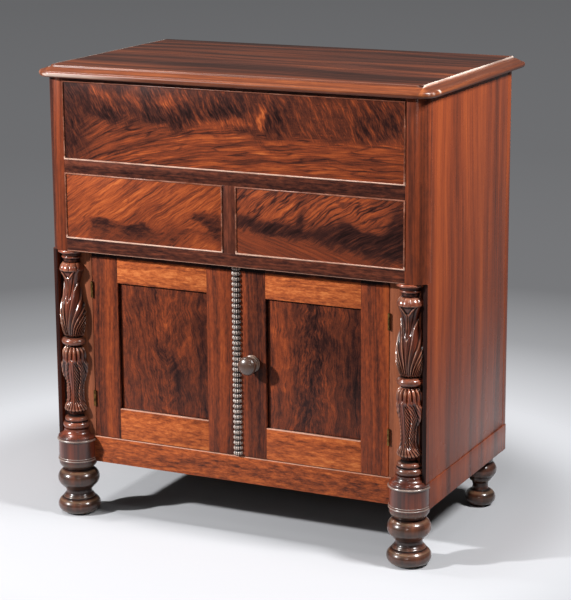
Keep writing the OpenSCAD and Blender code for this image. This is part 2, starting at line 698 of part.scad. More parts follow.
// Turned knob with its shank, and the bar it turns behind the doors
module door_knob() color(wood) place() translate([knob_x, recess, knob_z]) rotate([90, 0, 0])
    rotate_extrude() polygon(concat(
        [[0, -frame_t - passing - latch_t], [shank_r, -frame_t - passing - latch_t], [shank_r, passing]],
        arc(11.5, 2.3, 2, -90, 90, 8),
        arc(9.2, 6, 1.5, -80, 80, 6),
        arc(13.5, 12.5, 6, 230, 140, 6),
        arc(knob_r - 7.5, knob_out - 13, 7.5, -75, 35, 10),
        [[knob_r - 5, knob_out - 5.6], [knob_r - 9.5, knob_out - 2.4], [knob_r - 14.5, knob_out - 0.6], [0, knob_out]]
    ));
module latch_bar() color(plain_wood) place()
    translate([knob_x, frame_back + passing + latch_t, knob_z]) rotate([90, 0, 0])
        linear_extrude(latch_t) difference() {
            union() {
                circle(r = latch_w / 2);
                translate([-latch_w / 2, latch_w / 2 - latch_len]) square([latch_w, latch_len - latch_w / 2]);
                translate([0, latch_w / 2 - latch_len]) circle(r = latch_w / 2);
            }
            circle(r = shank_r);
        }

// Slide bolt on the back of the left door
module left_bolt_plate() color(brass) place() translate([bolt_x, 0, 0]) {
    top = door_z1 - 2;
    board([-guide_w / 2 - 1, frame_back, top - plate_h], [guide_w / 2 + 1, frame_back + 1.5, top]);
    difference() {
        for (z = [top - plate_h + 6, top - guide_h - 4])
            board([-guide_w / 2, frame_back + 1.5, z], [guide_w / 2, bolt_y + bolt_r + 1.4, z + guide_h]);
        translate([0, bolt_y, top - plate_h]) cylinder(r = bolt_r + running, h = plate_h);
    }
}
module left_bolt_rod() color(brass) place() translate([bolt_x, bolt_y, 0]) {
    top = door_z1 - 2;
    translate([0, 0, top - plate_h - 6]) cylinder(r = bolt_r, h = bolt_top - top + plate_h + 6);
    translate([0, 0, top - plate_h + 26]) rotate([-90, 0, 0]) cylinder(r = 2.2, h = 9);
}

side_panel(-1);  // left_side_panel
side_panel(1);  // right_side_panel
rear_stile(-1);  // left_rear_stile
rear_stile(1);  // right_rear_stile
corner_post(-1);  // left_corner_post
corner_post(1);  // right_corner_post
top_front_rail();
middle_rail();
waist_rail();
center_muntin();
blind_front(-post_in, post_in, upper_z0, upper_z1);  // upper_blind_front
blind_front(-post_in, -muntin_w / 2, lower_z0, lower_z1);  // left_blind_front
blind_front(muntin_w / 2, post_in, lower_z0, lower_z1);  // right_blind_front
cockbead(-post_in, post_in, upper_z0, upper_z1);  // upper_cockbead
cockbead(-post_in, -muntin_w / 2, lower_z0, lower_z1);  // left_cockbead
cockbead(muntin_w / 2, post_in, lower_z0, lower_z1);  // right_cockbead
front_stile(-1);  // left_front_stile
front_stile(1);  // right_front_stile
front_plinth_rail();
side_plinth_rail(-1);  // left_plinth_rail
side_plinth_rail(1);  // right_plinth_rail
rear_plinth_rail();
drum(-1);  // left_drum
drum(1);  // right_drum
column(-1);  // left_column
column(1);  // right_column
front_foot(-1);  // front_left_foot
front_foot(1);  // front_right_foot
rear_foot(-1);  // rear_left_foot
rear_foot(1);  // rear_right_foot
cupboard_floor();
well_floor();
well_liner();
lower_back_board();
upper_back_board();
hinge_rail();
lid_rest_pads();
door_stops();
lid_hinge_case_leaves();
door_hinge_case_leaves();
lid_panel();
lid_battens();
lid_hinge_lid_leaves();
outer_stile(-1);  // left_door_outer_stile
meeting_stile(-1);  // left_door_meeting_stile
door_top_rail(-1);  // left_door_top_rail
door_bottom_rail(-1);  // left_door_bottom_rail
door_panel(-1);  // left_door_panel
door_hinge_leaves(-1);  // left_door_hinge_leaves
left_bolt_plate();
left_bolt_rod();
outer_stile(1);  // right_door_outer_stile
meeting_stile(1);  // right_door_meeting_stile
door_top_rail(1);  // right_door_top_rail
door_bottom_rail(1);  // right_door_bottom_rail
door_panel(1);  // right_door_panel
door_hinge_leaves(1);  // right_door_hinge_leaves
astragal();
door_knob();
latch_bar();
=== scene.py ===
import json
import math

import bmesh
import bpy
import numpy as np
from mathutils import Matrix, Vector

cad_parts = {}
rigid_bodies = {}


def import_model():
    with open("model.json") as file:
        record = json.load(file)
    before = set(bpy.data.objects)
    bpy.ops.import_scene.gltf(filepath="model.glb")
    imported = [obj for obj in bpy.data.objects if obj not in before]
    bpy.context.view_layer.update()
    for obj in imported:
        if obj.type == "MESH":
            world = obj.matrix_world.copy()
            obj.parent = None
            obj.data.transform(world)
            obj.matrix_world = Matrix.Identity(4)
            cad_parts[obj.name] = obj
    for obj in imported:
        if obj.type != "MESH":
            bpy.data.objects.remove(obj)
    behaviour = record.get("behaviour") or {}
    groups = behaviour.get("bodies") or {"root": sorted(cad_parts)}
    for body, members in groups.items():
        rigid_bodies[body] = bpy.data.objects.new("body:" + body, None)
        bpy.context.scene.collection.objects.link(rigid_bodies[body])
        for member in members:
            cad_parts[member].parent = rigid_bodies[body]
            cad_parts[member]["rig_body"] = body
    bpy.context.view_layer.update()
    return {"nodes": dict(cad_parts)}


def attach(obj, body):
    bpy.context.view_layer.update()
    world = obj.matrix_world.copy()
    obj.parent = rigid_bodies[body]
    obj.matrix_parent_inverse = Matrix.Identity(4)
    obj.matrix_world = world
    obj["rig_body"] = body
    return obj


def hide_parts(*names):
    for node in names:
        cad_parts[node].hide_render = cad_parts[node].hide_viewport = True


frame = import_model()
cadNodes = frame["nodes"]

mm = 0.001
frontPlane = -0.2565  # the upper case's front in the part's frame; drawing depths count from it
doorPlane = 28 * mm + frontPlane  # the doors are set back behind it
hands = {"left": -1, "right": 1}  # the sign of x on each side


# camera

cameraView = {
    "place": (2.01405, -4.13988, 1.59496),
    "yaw": 0.45119,
    "pitch": -0.23637,
    "roll": -0.00685,
    "lens": 125.85,
    "sensor": 36,
}


def addCamera(view):
    yaw, pitch, roll = view["yaw"], view["pitch"], view["roll"]
    ahead = Vector((-math.sin(yaw) * math.cos(pitch), math.cos(yaw) * math.cos(pitch), math.sin(pitch)))
    right = Vector((math.cos(yaw), math.sin(yaw), 0))
    up = right.cross(ahead)
    rolledRight = right * math.cos(roll) + up * math.sin(roll)
    rolledUp = up * math.cos(roll) - right * math.sin(roll)
    data = bpy.data.cameras.new("photo_camera")
    data.lens = view["lens"]
    data.sensor_width = view["sensor"]
    camera = bpy.data.objects.new("photo_camera", data)
    bpy.context.scene.collection.objects.link(camera)
    turn = Matrix((rolledRight, rolledUp, -ahead)).transposed().to_4x4()
    camera.matrix_world = Matrix.Translation(view["place"]) @ turn
    bpy.context.scene.camera = camera


addCamera(cameraView)
bpy.context.scene.view_settings.view_transform = "Standard"
print("camera set")


# shader maths

def tint(red, green, blue):
    # a colour as a paint program gives it, 0 to 255, as linear light
    def linear(value):
        value = value / 255
        return value / 12.92 if value <= 0.04045 else ((value + 0.055) / 1.055) ** 2.4
    return (linear(red), linear(green), linear(blue), 1)


def operator(operation):
    # an operator of Field and its reflected form
    def plain(self, other):
        return self.math(operation, self, other)

    def reflected(self, other):
        return self.math(operation, other, self)

    return plain, reflected


class Field:
    # a value or colour on its way through a material's nodes
    def __init__(self, tree, socket=None):
        self.tree = tree
        self.socket = socket

    def node(self, kind, settings=None, sockets=None, output=0):
        # any node: its type, its settings, then what its sockets hold
        made = self.tree.nodes.new("ShaderNode" + kind)
        for name, value in (settings or {}).items():
            if name == "stops":
                elements = made.color_ramp.elements
                elements[0].position, elements[0].color = value[0]
                elements[1].position, elements[1].color = value[-1]
                for position, colour in value[1:-1]:
                    elements.new(position).color = colour
            else:
                setattr(made, name, value)
        for name, value in (sockets or {}).items():
            if isinstance(value, Field):
                self.tree.links.new(value.socket, made.inputs[name])
            else:
                made.inputs[name].default_value = value
        return Field(self.tree, made.outputs[output]) if made.outputs else None

    def out(self, name):
        return Field(self.tree, self.socket.node.outputs[name])

    def math(self, operation, *values):
        return self.node("Math", {"operation": operation}, dict(enumerate(values)))

    __add__, __radd__ = operator("ADD")
    __sub__, __rsub__ = operator("SUBTRACT")
    __mul__, __rmul__ = operator("MULTIPLY")
    __truediv__, __rtruediv__ = operator("DIVIDE")
    __pow__, __rpow__ = operator("POWER")

    def __neg__(self):
        return self.math("MULTIPLY", self, -1.0)

    def __abs__(self):
        return self.math("ABSOLUTE", self)

    def exp(self):
        return self.math("EXPONENT", self)

    def noise(self, x, y, z, detail=2.0, roughness=0.5):
        point = self.node("CombineXYZ", None, {0: x, 1: y, 2: z})
        return self.node("TexNoise", None, {
            "Vector": point, "Scale": 1.0, "Detail": detail, "Roughness": roughness,
        })

    def soft(self, low, high, start=0.0, end=1.0):
        # eases from start to end as the value goes from low to high
        return self.node("MapRange", {"interpolation_type": "SMOOTHSTEP"}, {
            "Value": self, "From Min": low, "From Max": high, "To Min": start, "To Max": end,
        })

    def fade(self, low, high):
        # eases from 1 to 0
        return self.soft(low, high, 1.0, 0.0)

    def mix(self, first, second):
        # this value blends the first colour into the second
        return self.node("Mix", {"data_type": "RGBA"}, {0: self, 6: first, 7: second}, 2)

    def ramp(self, stops):
        return self.node("ValToRGB", {"stops": stops}, {0: self})


def square(value):
    return value * value


def blend(first, second, share):
    return first + (second - first) * share


def objectPoint(start):
    # a point's place in the part's frame, in metres; it moves along with its piece
    position = start.node("TexCoord", None, None, "Object")
    x = start.node("SeparateXYZ", None, {0: position})
    return x, x.out("Y"), x.out("Z")


def facing(start, axis):
    # 1 where the surface looks along an axis, -1 where it looks the other way
    normal = start.node("NewGeometry", None, None, "Normal")
    return start.node("SeparateXYZ", None, {0: normal}, axis)


def markAt(start, name):
    # a mark that the mesh carries at each point
    return start.node("Attribute", {"attribute_name": name}, None, "Fac")


def newMaterial(name):
    material = bpy.data.materials.new(name)
    material.use_nodes = True
    material.node_tree.nodes.clear()
    return material, Field(material.node_tree)


def finishMaterial(start, colour, roughness, height, strength, distance, fixed):
    bumped = start.node("Bump", None, {"Strength": strength, "Distance": distance, "Height": height})
    shader = start.node("BsdfPrincipled", None, {
        "Base Color": colour, "Roughness": roughness, "Normal": bumped, **fixed,
    })
    start.node("OutputMaterial", None, {"Surface": shader})


# shellacked wood

woodTones = {
    "deep": tint(28, 15, 14),
    "dark": tint(54, 29, 25),
    "brown": tint(92, 46, 32),
    "red": tint(128, 60, 36),
    "orange": tint(167, 82, 43),
    "bright": tint(201, 113, 61),
}
shellac = {
    "poreDepth": 0.3,
    "hazeScale": 9,
    "hazeRoughness": 0.14,
    "wornRoughness": 0.1,
    "waveScale": 14,
    "bump": 0.2,
    "bumpDistance": 0.6 * mm,
    "coatRoughness": 0.3,
}


def toneStops(rows):
    # each row is a place on the ramp, then a tone's name or a colour
    return [(at, woodTones[rest[0]] if isinstance(rest[0], str) else tint(*rest)) for at, *rest in rows]


def polish(start, tone, point, pores, look, wornLitMark=None, coat=0.0):
    # colour, gloss and surface of a shellacked wood from its tone
    x, y, z = point
    pore = start.noise(*pores, detail=3.0, roughness=0.65)
    colour = (tone + (pore - 0.5) * shellac["poreDepth"]).ramp(toneStops(look["stops"]))
    scale = shellac["hazeScale"]
    haze = start.noise(x * scale, y * scale, z * scale, detail=3.0)
    worn = markAt(start, "wear")
    if look["wear"]:
        share, *bare = look["wear"]
        colour = (worn * (0.3 + haze * 0.9)).soft(0.2, 0.95, 0.0, share).mix(colour, tint(*bare))
    # pale marks: wear together with painted highlight
    if wornLitMark is not None:
        colour = (wornLitMark * (0.45 + haze)).mix(colour, look["wornLitColour"])
    scale = shellac["waveScale"]
    waves = start.noise(x * scale, y * scale, z * scale, detail=1.0)
    roughness = look["roughness"] + (haze - 0.5) * shellac["hazeRoughness"] + worn * shellac["wornRoughness"]
    height = waves * 1.2 + pore * 0.3
    finishMaterial(start, colour, roughness, height, shellac["bump"], shellac["bumpDistance"], {
        "Specular IOR Level": look["gloss"],
        "Coat Roughness": shellac["coatRoughness"],
        "Coat Weight": coat,
    })


# figured veneers

veneerFinish = {
    "stops": [(0.0, "deep"), (0.2, "dark"), (0.4, "brown"), (0.58, "red"), (0.78, "orange"), (1.0, "bright")],
    "roughness": 0.24,
    "wear": (0.3, 150, 96, 74),  # how far the edges are worn, and to what colour
    "gloss": 0.14,
}


def veneer(name, look, figure):
    # its own drawing of tone over a front; s and t are shares of the front from its lower left corner
    material, start = newMaterial(name)
    x, y, z = point = objectPoint(start)
    low, high, seed = look["low"], look["high"], look["seed"]
    s = (x - low[0]) / (high[0] - low[0])
    t = (z - low[1]) / (high[1] - low[1])
    warp = start.noise(x * 12 + seed, z * 18, y + seed, detail=3.0, roughness=0.55) - 0.5
    tone = figure(start, x, z, s, t, warp, look)
    if look["grime"]:
        # painted shade, with dirt and old polish, where a door panel meets its frame: darkest at the left and
        # top edges
        sides = s.fade(0.0, 0.02) + s.soft(0.985, 1.0) * 0.6
        rim = sides + t.soft(0.98, 1.0) + t.soft(0.0, 0.01, 0.5, 0.0)
        tone = tone - rim * look["grime"]
    polish(start, tone, point, (x * 500, y, z * 700), veneerFinish)
    return material


def spot(s, t, atS, atT, width, height, lean=0.0, strength=1.0):
    # full strength at a place on a front, fading to 0 over its width and height
    ds = s - atS
    dt = t - atT - ds * lean
    return (-(square(ds / width) + square(dt / height))).exp() * strength


def clouds(s, t, look):
    # all dark and all light spots of a front
    return [sum(spot(s, t, *row) for row in look[shade]) for shade in ("dark", "light")]


def streaks(start, along, across, seed, detail=4.0):
    return start.noise(along, across, seed, detail=detail, roughness=0.68) - 0.5


def veins(start, along, across, seed, width=0.035):
    # thin dark lines that run along the figure
    return abs(start.noise(along, across, seed, detail=2.0) - 0.5).fade(0.0, width)


def flames(patch, fine, wide, low, high):
    # a dark patch whose edge breaks up along the streaks
    return (patch + fine * 1.5 + wide * 1.0).soft(low, high)


upperFront = {
    "low": (-0.4045, 0.8206),
    "high": (0.4045, 0.994),
    "seed": 3.1,
    "grime": 0.0,
    # place, width and height of each spot as shares of the front, then its lean and strength
    "dark": [
        (0.14, 0.6, 0.035, 0.2, -3.0), (0.27, 0.66, 0.05, 0.16), (0.36, 0.62, 0.05, 0.2),
        (0.49, 0.74, 0.05, 0.14), (0.645, 0.7, 0.03, 0.16, -2.0), (0.6, 0.38, 0.06, 0.1, -1.6),
        (0.8, 0.42, 0.05, 0.1), (0.93, 0.68, 0.06, 0.2), (0.06, 0.22, 0.035, 0.1),
        (0.9, 0.12, 0.08, 0.05, 0.0, 0.7), (0.16, 0.1, 0.07, 0.04, 1.6, 0.8),
    ],
    "light": [
        (0.12, 0.88, 0.05, 0.16, -3.0), (0.215, 0.8, 0.022, 0.16, -2.0), (0.33, 0.86, 0.03, 0.1),
        (0.605, 0.7, 0.016, 0.13, -3.0, 1.6), (0.44, 0.56, 0.05, 0.07, 0.0, 0.8),
        (0.53, 0.6, 0.05, 0.05),
    ],
}


def upperFigure(start, x, z, s, t, warp, look):
    # the plume lies along the front: dark smoke above it, orange flames sweeping to the right below
    seed = look["seed"]
    lowAcross = z + (s * -3.6).exp() * 0.13 + (t - 0.1) * (t - 0.1) * (0.75 - s) * -0.12 + warp * 0.01
    low = streaks(start, x * 16, lowAcross * 300, seed)
    lowWide = streaks(start, x * 7, lowAcross * 85, seed + 4, 3.0)
    lowVein = veins(start, x * 5, lowAcross * 60, seed + 6, 0.03)
    highAcross = x + z * 0.5 + warp * 0.022
    high = streaks(start, z * 60, highAcross * 300, seed + 8)
    highWide = streaks(start, z * 26, highAcross * 90, seed + 12, 3.0)
    bentS = s + warp * 0.1
    bentT = t + warp * 0.4
    upper = (bentT + s * 0.06).soft(0.4, 0.66)
    dark, light = clouds(bentS, bentT, look)
    smoke = flames(upper * 0.7 + dark * 0.4, high, highWide, 0.2, 0.74)
    lowTone = 0.57 + low * 0.95 + lowWide * 1.2 - lowVein * 0.22
    # the right part is painted a little lighter, as if more light fell there
    highTone = 0.3 + high * 1.0 + highWide * 1.2 + bentS.soft(0.62, 0.8) * 0.11 - dark * 0.12 + light * 0.34
    end = (s + warp * 0.12).fade(0.02, 0.11)
    endTone = 0.32 + high * 0.9 + highWide * 0.8
    shade = (s + warp * 0.2).soft(0.1, 0.45, 0.1, 0.0)
    return blend(blend(lowTone, highTone, smoke), endTone, end) - shade


leftFront = {
    "low": (-0.4045, 0.6444),
    "high": (-0.0153, 0.791),
    "seed": 11.7,
    "grime": 0.0,
    "dark": [
        (0.2, 0.22, 0.06, 0.1), (0.46, 0.26, 0.09, 0.13), (0.88, 0.53, 0.09, 0.1),
        (0.98, 0.4, 0.08, 0.12), (0.04, 0.1, 0.06, 0.1, 0.0, 0.8),
    ],
    "light": [(0.86, 0.06, 0.12, 0.1), (0.25, 0.7, 0.16, 0.2, 1.0, 0.4)],
}


def leftFigure(start, x, z, s, t, warp, look):
    # bright strokes leaning to the right, with dark smoke along the foot
    seed = look["seed"]
    across = z - x * 0.72 + (t - 0.5) * (t - 0.5) * 0.02 + warp * 0.02
    fine = streaks(start, (x + z) * 14, across * 280, seed)
    wide = streaks(start, (x + z) * 8, across * 75, seed + 5, 3.0)
    vein = veins(start, (x + z) * 5, across * 60, seed + 3)
    foot = streaks(start, x * 40, z * 170 + warp * 3, seed + 9)
    bentS = s + warp * 0.16
    bentT = t + warp * 0.4
    dark, glow = clouds(bentS, bentT, look)
    hem = (bentT - s * 0.02).fade(0.22, 0.36) * bentS.soft(0.08, 0.16)
    smoke = flames(hem * 0.5 + dark * 0.62 - glow * 0.5, fine, wide, 0.26, 0.7)
    lit = 0.64 + fine * 0.85 + wide * 0.9 - vein * 0.14 + glow * 0.1
    return blend(lit, 0.34 + foot * 0.9 + fine * 0.5 - dark * 0.12, smoke)


rightFront = {
    "low": (0.0153, 0.6444),
    "high": (0.4045, 0.791),
    "seed": 23.4,
    "grime": 0.0,
    "dark": [
        (0.24, 0.42, 0.05, 0.1), (0.41, 0.62, 0.03, 0.16, 2.0), (0.66, 0.5, 0.06, 0.2),
        (0.95, 0.62, 0.06, 0.34), (0.82, 0.32, 0.14, 0.14),
    ],
    "light": [(0.3, 0.86, 0.14, 0.14, 1.0), (0.13, 0.33, 0.06, 0.06)],
}


def rightFigure(start, x, z, s, t, warp, look):
    # curved feathers over a dark band that falls to the right
    seed = look["seed"]
    bend = s - 0.3
    across = z - x * 0.8 + bend * bend * 0.09 + warp * 0.03
    fine = streaks(start, (x + z) * 14, across * 280, seed)
    wide = streaks(start, (x + z) * 9, across * 85, seed + 5, 3.0)
    vein = veins(start, (x + z) * 6, across * 56, seed + 3, 0.05)
    foot = streaks(start, x * 14 + z * 14, (z + x * 0.3) * 220 + warp * 3, seed + 9)
    bentS = s + warp * 0.16
    bentT = t + warp * 0.42
    fall = (bentT - 0.5 + s * 0.26) / (0.1 + s * 0.14)
    band = (-square(fall)).exp()
    dark, glow = clouds(bentS, bentT, look)
    smoke = flames((band + dark) * 0.62 - glow * 0.3, fine, wide, 0.2, 0.66)
    below = fall.fade(-1.4, -0.4)
    lit = blend(0.55 + fine * 1.0 + wide * 1.0 - vein * 0.3, 0.48 + foot * 0.8, below)
    return blend(lit, 0.14 + fine * 0.9 + wide * 0.8, smoke)


leftPanel = {
    "low": (-0.2946, 0.256),
    "high": (-0.071, 0.5456),
    "seed": 31.9,
    "grime": 0.45,
    "dark": [
        (0.62, 0.42, 0.14, 0.14), (0.5, 0.56, 0.1, 0.07, 0.6), (0.93, 0.6, 0.07, 0.5),
        (0.7, 0.2, 0.1, 0.12), (0.3, 0.86, 0.12, 0.12, 0.0, 0.7),
    ],
    "light": [(0.7, 0.52, 0.1, 0.05, 0.6), (0.52, 0.72, 0.07, 0.12)],
}


def leftPanelFigure(start, x, z, s, t, warp, look):
    # a soft plume, rising and opening to both sides
    seed = look["seed"]
    side = abs(s + warp * 0.14 - 0.52)
    across = x + (z - 0.25) * 0.16 + warp * 0.035
    fine = streaks(start, z * 20, across * 260, seed)
    wide = streaks(start, z * 9, across * 70, seed + 2, 3.0)
    fan = streaks(start, z * 26 + side * 2, (z * 0.5 - side * 0.16) * 150 + warp * 7, seed + 4)
    core = (side + warp * 0.5).fade(0.05, 0.32)
    smoke, glow = clouds(s + warp * 0.3, t + warp * 0.3, look)
    blotch = start.noise(x * 70 + seed, z * 45, seed, detail=5.0, roughness=0.7) - 0.5
    tone = 0.42 + fine * 0.75 + wide * 0.6 + blotch * 0.6 + fan * (0.15 + core * 0.6)
    return tone - smoke * 0.2 + glow * 0.16


rightPanel = {
    "low": (0.071, 0.256),
    "high": (0.2946, 0.5456),
    "seed": 47.2,
    "grime": 0.45,
    "dark": [
        (0.44, 0.82, 0.08, 0.2), (0.52, 0.5, 0.08, 0.22), (0.4, 0.2, 0.08, 0.2),
        (0.95, 0.5, 0.09, 0.6), (0.66, 0.74, 0.1, 0.1),
    ],
    "light": [(0.13, 0.6, 0.1, 0.4), (0.6, 0.33, 0.08, 0.2)],
}


def rightPanelFigure(start, x, z, s, t, warp, look):
    # a dark crotch up the middle, flecked with orange
    seed = look["seed"]
    middle = 0.48 + (t - 0.5) * 0.06
    side = abs(s + warp * 0.12 - middle)
    across = x - (z - 0.3) * 0.05 + warp * 0.03
    fine = streaks(start, z * 18, across * 280, seed)
    wide = streaks(start, z * 8, across * 70, seed + 2, 3.0)
    fleck = streaks(start, z * 90 + side * 30, (s - 0.48) * 40 + warp * 6, seed + 4)
    core = (side + warp * 0.4).fade(0.06, 0.28)
    smoke, glow = clouds(s + warp * 0.3, t + warp * 0.25, look)
    blotch = start.noise(x * 70 + seed, z * 45, seed, detail=5.0, roughness=0.7) - 0.5
    tone = 0.4 + fine * 0.75 + wide * 0.6 + blotch * 0.6 + fleck * core * 1.0
    return tone - smoke * 0.2 + glow * 0.15 - core * 0.02


upperVeneer = veneer("upper_front_veneer", upperFront, upperFigure)
leftVeneer = veneer("left_front_veneer", leftFront, leftFigure)
rightVeneer = veneer("right_front_veneer", rightFront, rightFigure)
leftPanelVeneer = veneer("left_panel_veneer", leftPanel, leftPanelFigure)
rightPanelVeneer = veneer("right_panel_veneer", rightPanel, rightPanelFigure)


# straight-grained woods

grainAxes = {"across": (0, 2, 1), "upright": (2, 0, 1), "side": (2, 1, 0)}  # along, across, through
plainLook = {
    "roughness": 0.27,
    "wear": (0.3, 164, 104, 78),
    "gloss": 0.14,
    "wornLitColour": tint(208, 160, 138),
    "extra": None,  # what a wood adds to its tone
    "ledge": None,  # height, width and strength of a pale ledge line, painted highlight along with wear
}


def plainWood(name, ownLook):
    # wide bands, fine lines and a mottle of short flecks
    look = {**plainLook, **ownLook}
    material, start = newMaterial(name)
    x, y, z = point = objectPoint(start)
    along, across, through = [point[i] for i in grainAxes[look["grain"]]]
    seed = look["seed"]
    (bands, bandDepth), (lines, lineDepth), (fleck, fleckDepth) = look["bands"], look["lines"], look["mottle"]
    drift = start.noise(along * 1.3 + seed, across * 3, through * 3, detail=1.0) - 0.5
    wide = start.noise(along * 0.8 + seed, across * bands + drift * 2, through * bands, detail=2.0)
    fine = start.noise(along * 3.5 + seed, across * lines + drift * 12, through * lines,
                       detail=4.0, roughness=0.7)
    cross = start.noise(along * fleck * 0.45 + drift * 6, across * fleck * 1.6 + seed, through * 20,
                        detail=4.0, roughness=0.7)
    tone = look["level"] + (wide - 0.5) * bandDepth + (fine - 0.5) * lineDepth + (cross - 0.5) * fleckDepth
    if look["extra"]:
        tone = tone + look["extra"](start, x, y, z, drift)
    wornLitMark = None
    if look["ledge"]:
        height, width, strength = look["ledge"]
        # a pale line along a ledge: painted highlight, and wear
        wornLitMark = abs(z - height).soft(width * 0.5, width, strength, 0.0)
    polish(start, tone, point, (along * 70, across * 1100, through * 1100), look, wornLitMark)
    return material


def paintedLightRight(start, x, y, z, drift):
    # painted light: the right post is a little lighter than the left, as if more light fell there
    return x.soft(-0.3, 0.3, -0.04, 0.09)


def paintedTopShadow(start, x, y, z, drift):
    # painted shadow of the waist rail along the top of the doors, and the right door painted a little lighter
    # as if more light fell there
    return z.soft(0.599, 0.6045, 0.0, -0.7) + x.soft(0.1, 0.35, 0.0, 0.09)


def shadedFrontEdge(start, x, y, z, drift):
    # painted shade on the narrow front edges beside the columns, and the sides painted darker towards them
    edge = facing(start, "Y").soft(-0.9, -0.6, -0.45, 0.0)
    return edge + (y + drift * 0.1).soft(-0.25, -0.19, -0.13, 0.0)


def paintedBeadHighlight(start, x, y, z, drift):
    # painted highlight: the lower beads are painted pale where they catch the light
    upper = abs(z - 0.8226).fade(0.004, 0.007)
    lower = abs(z - 0.6464).fade(0.004, 0.007)
    return (upper + lower) * 0.46


def dirtyShadedUnderside(start, x, y, z, drift):
    # the undersides are painted nearly black: dirt, and painted shade on the faces that look down
    return facing(start, "Z").soft(-0.9, -0.5, -0.9, 0.0)


darkRailStops = [(0.0, "deep"), (0.3, "dark"), (0.55, 82, 43, 32), (0.8, 110, 58, 42), (1.0, "red")]
redStops = [(0.0, "deep"), (0.2, "dark"), (0.42, "brown"), (0.65, "red"), (1.0, "orange")]
orangeStops = [
    (0.0, "dark"), (0.22, 98, 49, 32), (0.48, 142, 70, 40), (0.75, 182, 94, 50), (1.0, 210, 122, 68),
]
tanStops = [(0.0, "dark"), (0.25, 104, 58, 40), (0.5, 138, 80, 56), (0.75, 168, 98, 66), (1.0, "bright")]
# bands, lines and mottle each have how many there are to a metre, and their share of the tone
railLook = {
    "grain": "across", "stops": darkRailStops, "seed": 2.0, "level": 0.46,
    "bands": (30, 1.1), "lines": (160, 1.0), "mottle": (90.0, 1.5),
    "ledge": (0.6159, 0.0016, 0.5),
}
muntinLook = {
    "grain": "upright", "stops": darkRailStops, "seed": 5.0, "level": 0.56,
    "bands": (60, 1.2), "lines": (240, 0.9), "mottle": (60.0, 1.2),
}
postLook = {
    "grain": "upright", "stops": redStops, "seed": 7.0, "level": 0.5,
    "bands": (42, 1.3), "lines": (200, 0.9), "mottle": (60.0, 0.4),
    "extra": paintedLightRight,
}
sideLook = {
    "grain": "side", "stops": redStops, "seed": 9.0, "level": 0.63,
    "bands": (20, 1.1), "lines": (150, 0.8), "mottle": (24.0, 0.2),
    "extra": shadedFrontEdge,
}
doorStileLook = {
    "grain": "upright", "stops": redStops, "seed": 13.0, "level": 0.55,
    "bands": (30, 1.4), "lines": (180, 0.9), "mottle": (120.0, 0.9),
    "extra": paintedTopShadow,
}
frontStileLook = {
    "grain": "upright", "stops": tanStops, "seed": 17.0, "level": 0.5,
    "bands": (24, 1.2), "lines": (140, 0.7), "mottle": (60.0, 0.3),
}
doorRailLook = {
    "grain": "across", "stops": orangeStops, "seed": 19.0, "level": 0.63,
    "bands": (30, 0.9), "lines": (170, 0.45), "mottle": (105.0, 1.7),
    "extra": paintedTopShadow, "ledge": (0.2558, 0.0018, 0.9),
}
plinthLook = {
    "grain": "across", "stops": orangeStops, "seed": 29.0, "level": 0.57,
    "bands": (24, 1.0), "lines": (150, 0.5), "mottle": (95.0, 1.7),
    "ledge": (0.1836, 0.0016, 0.7),
}
beadLook = {
    "grain": "across", "seed": 41.0, "level": 0.42,
    "stops": [(0.0, 70, 36, 26), (0.4, 116, 66, 48), (0.7, 166, 116, 96), (1.0, 214, 176, 156)],
    "bands": (20, 1.0), "lines": (120, 0.5), "mottle": (60.0, 0.8),
    "wear": None, "extra": paintedBeadHighlight,
}
pineLook = {
    "grain": "across", "seed": 43.0, "level": 0.5,
    "stops": [(0.0, 34, 22, 16), (0.2, 110, 74, 44), (0.5, 168, 124, 78), (1.0, 196, 156, 108)],
    "bands": (12, 1.2), "lines": (70, 0.7), "mottle": (60.0, 0.1),
    "roughness": 0.6, "wear": (0.3, 200, 168, 124), "extra": dirtyShadedUnderside,
}
railWood = plainWood("dark_rail_veneer", railLook)
muntinWood = plainWood("dark_muntin_veneer", muntinLook)
postWood = plainWood("post_mahogany", postLook)
sideWood = plainWood("side_mahogany", sideLook)
doorStileWood = plainWood("door_stile_mahogany", doorStileLook)
frontStileWood = plainWood("front_stile_mahogany", frontStileLook)
doorRailWood = plainWood("door_rail_mahogany", doorRailLook)
plinthWood = plainWood("plinth_mahogany", plinthLook)
beadWood = plainWood("bead_wood", beadLook)
pineWood = plainWood("secondary_pine", pineLook)


# lid

lidLook = {
    "stops": [
        (0.0, 42, 22, 16), (0.2, 64, 33, 23), (0.4, 92, 47, 31), (0.6, 116, 60, 36), (1.0, 186, 106, 58),
    ],
    "roughness": 0.34,
    "wear": (0.3, 164, 104, 78),
    "gloss": 0.12,
    "wornLitColour": tint(232, 212, 198),
    "flatTone": 0.33,
    "edgeTone": 0.44,
    "sideEdge": 0.4398,  # where the flat of the lid ends, from the middle
    "frontEdge": 0.0052,  # and behind the case's front
    "noseHeight": 1.0075,
    "bruiseAndGlintStrength": 1.6,
    "bruisesAndGlint": [  # place and size of the pale bruises at the corners; the first, at the left corner, is a painted highlight
        (-0.4662, -0.2735, 1.0112, 0.008),
        (0.4615, -0.2665, 1.0115, 0.0035),
        (0.4665, -0.2545, 1.0125, 0.003),
        (0.4665, -0.2275, 1.0145, 0.004),
    ],
}


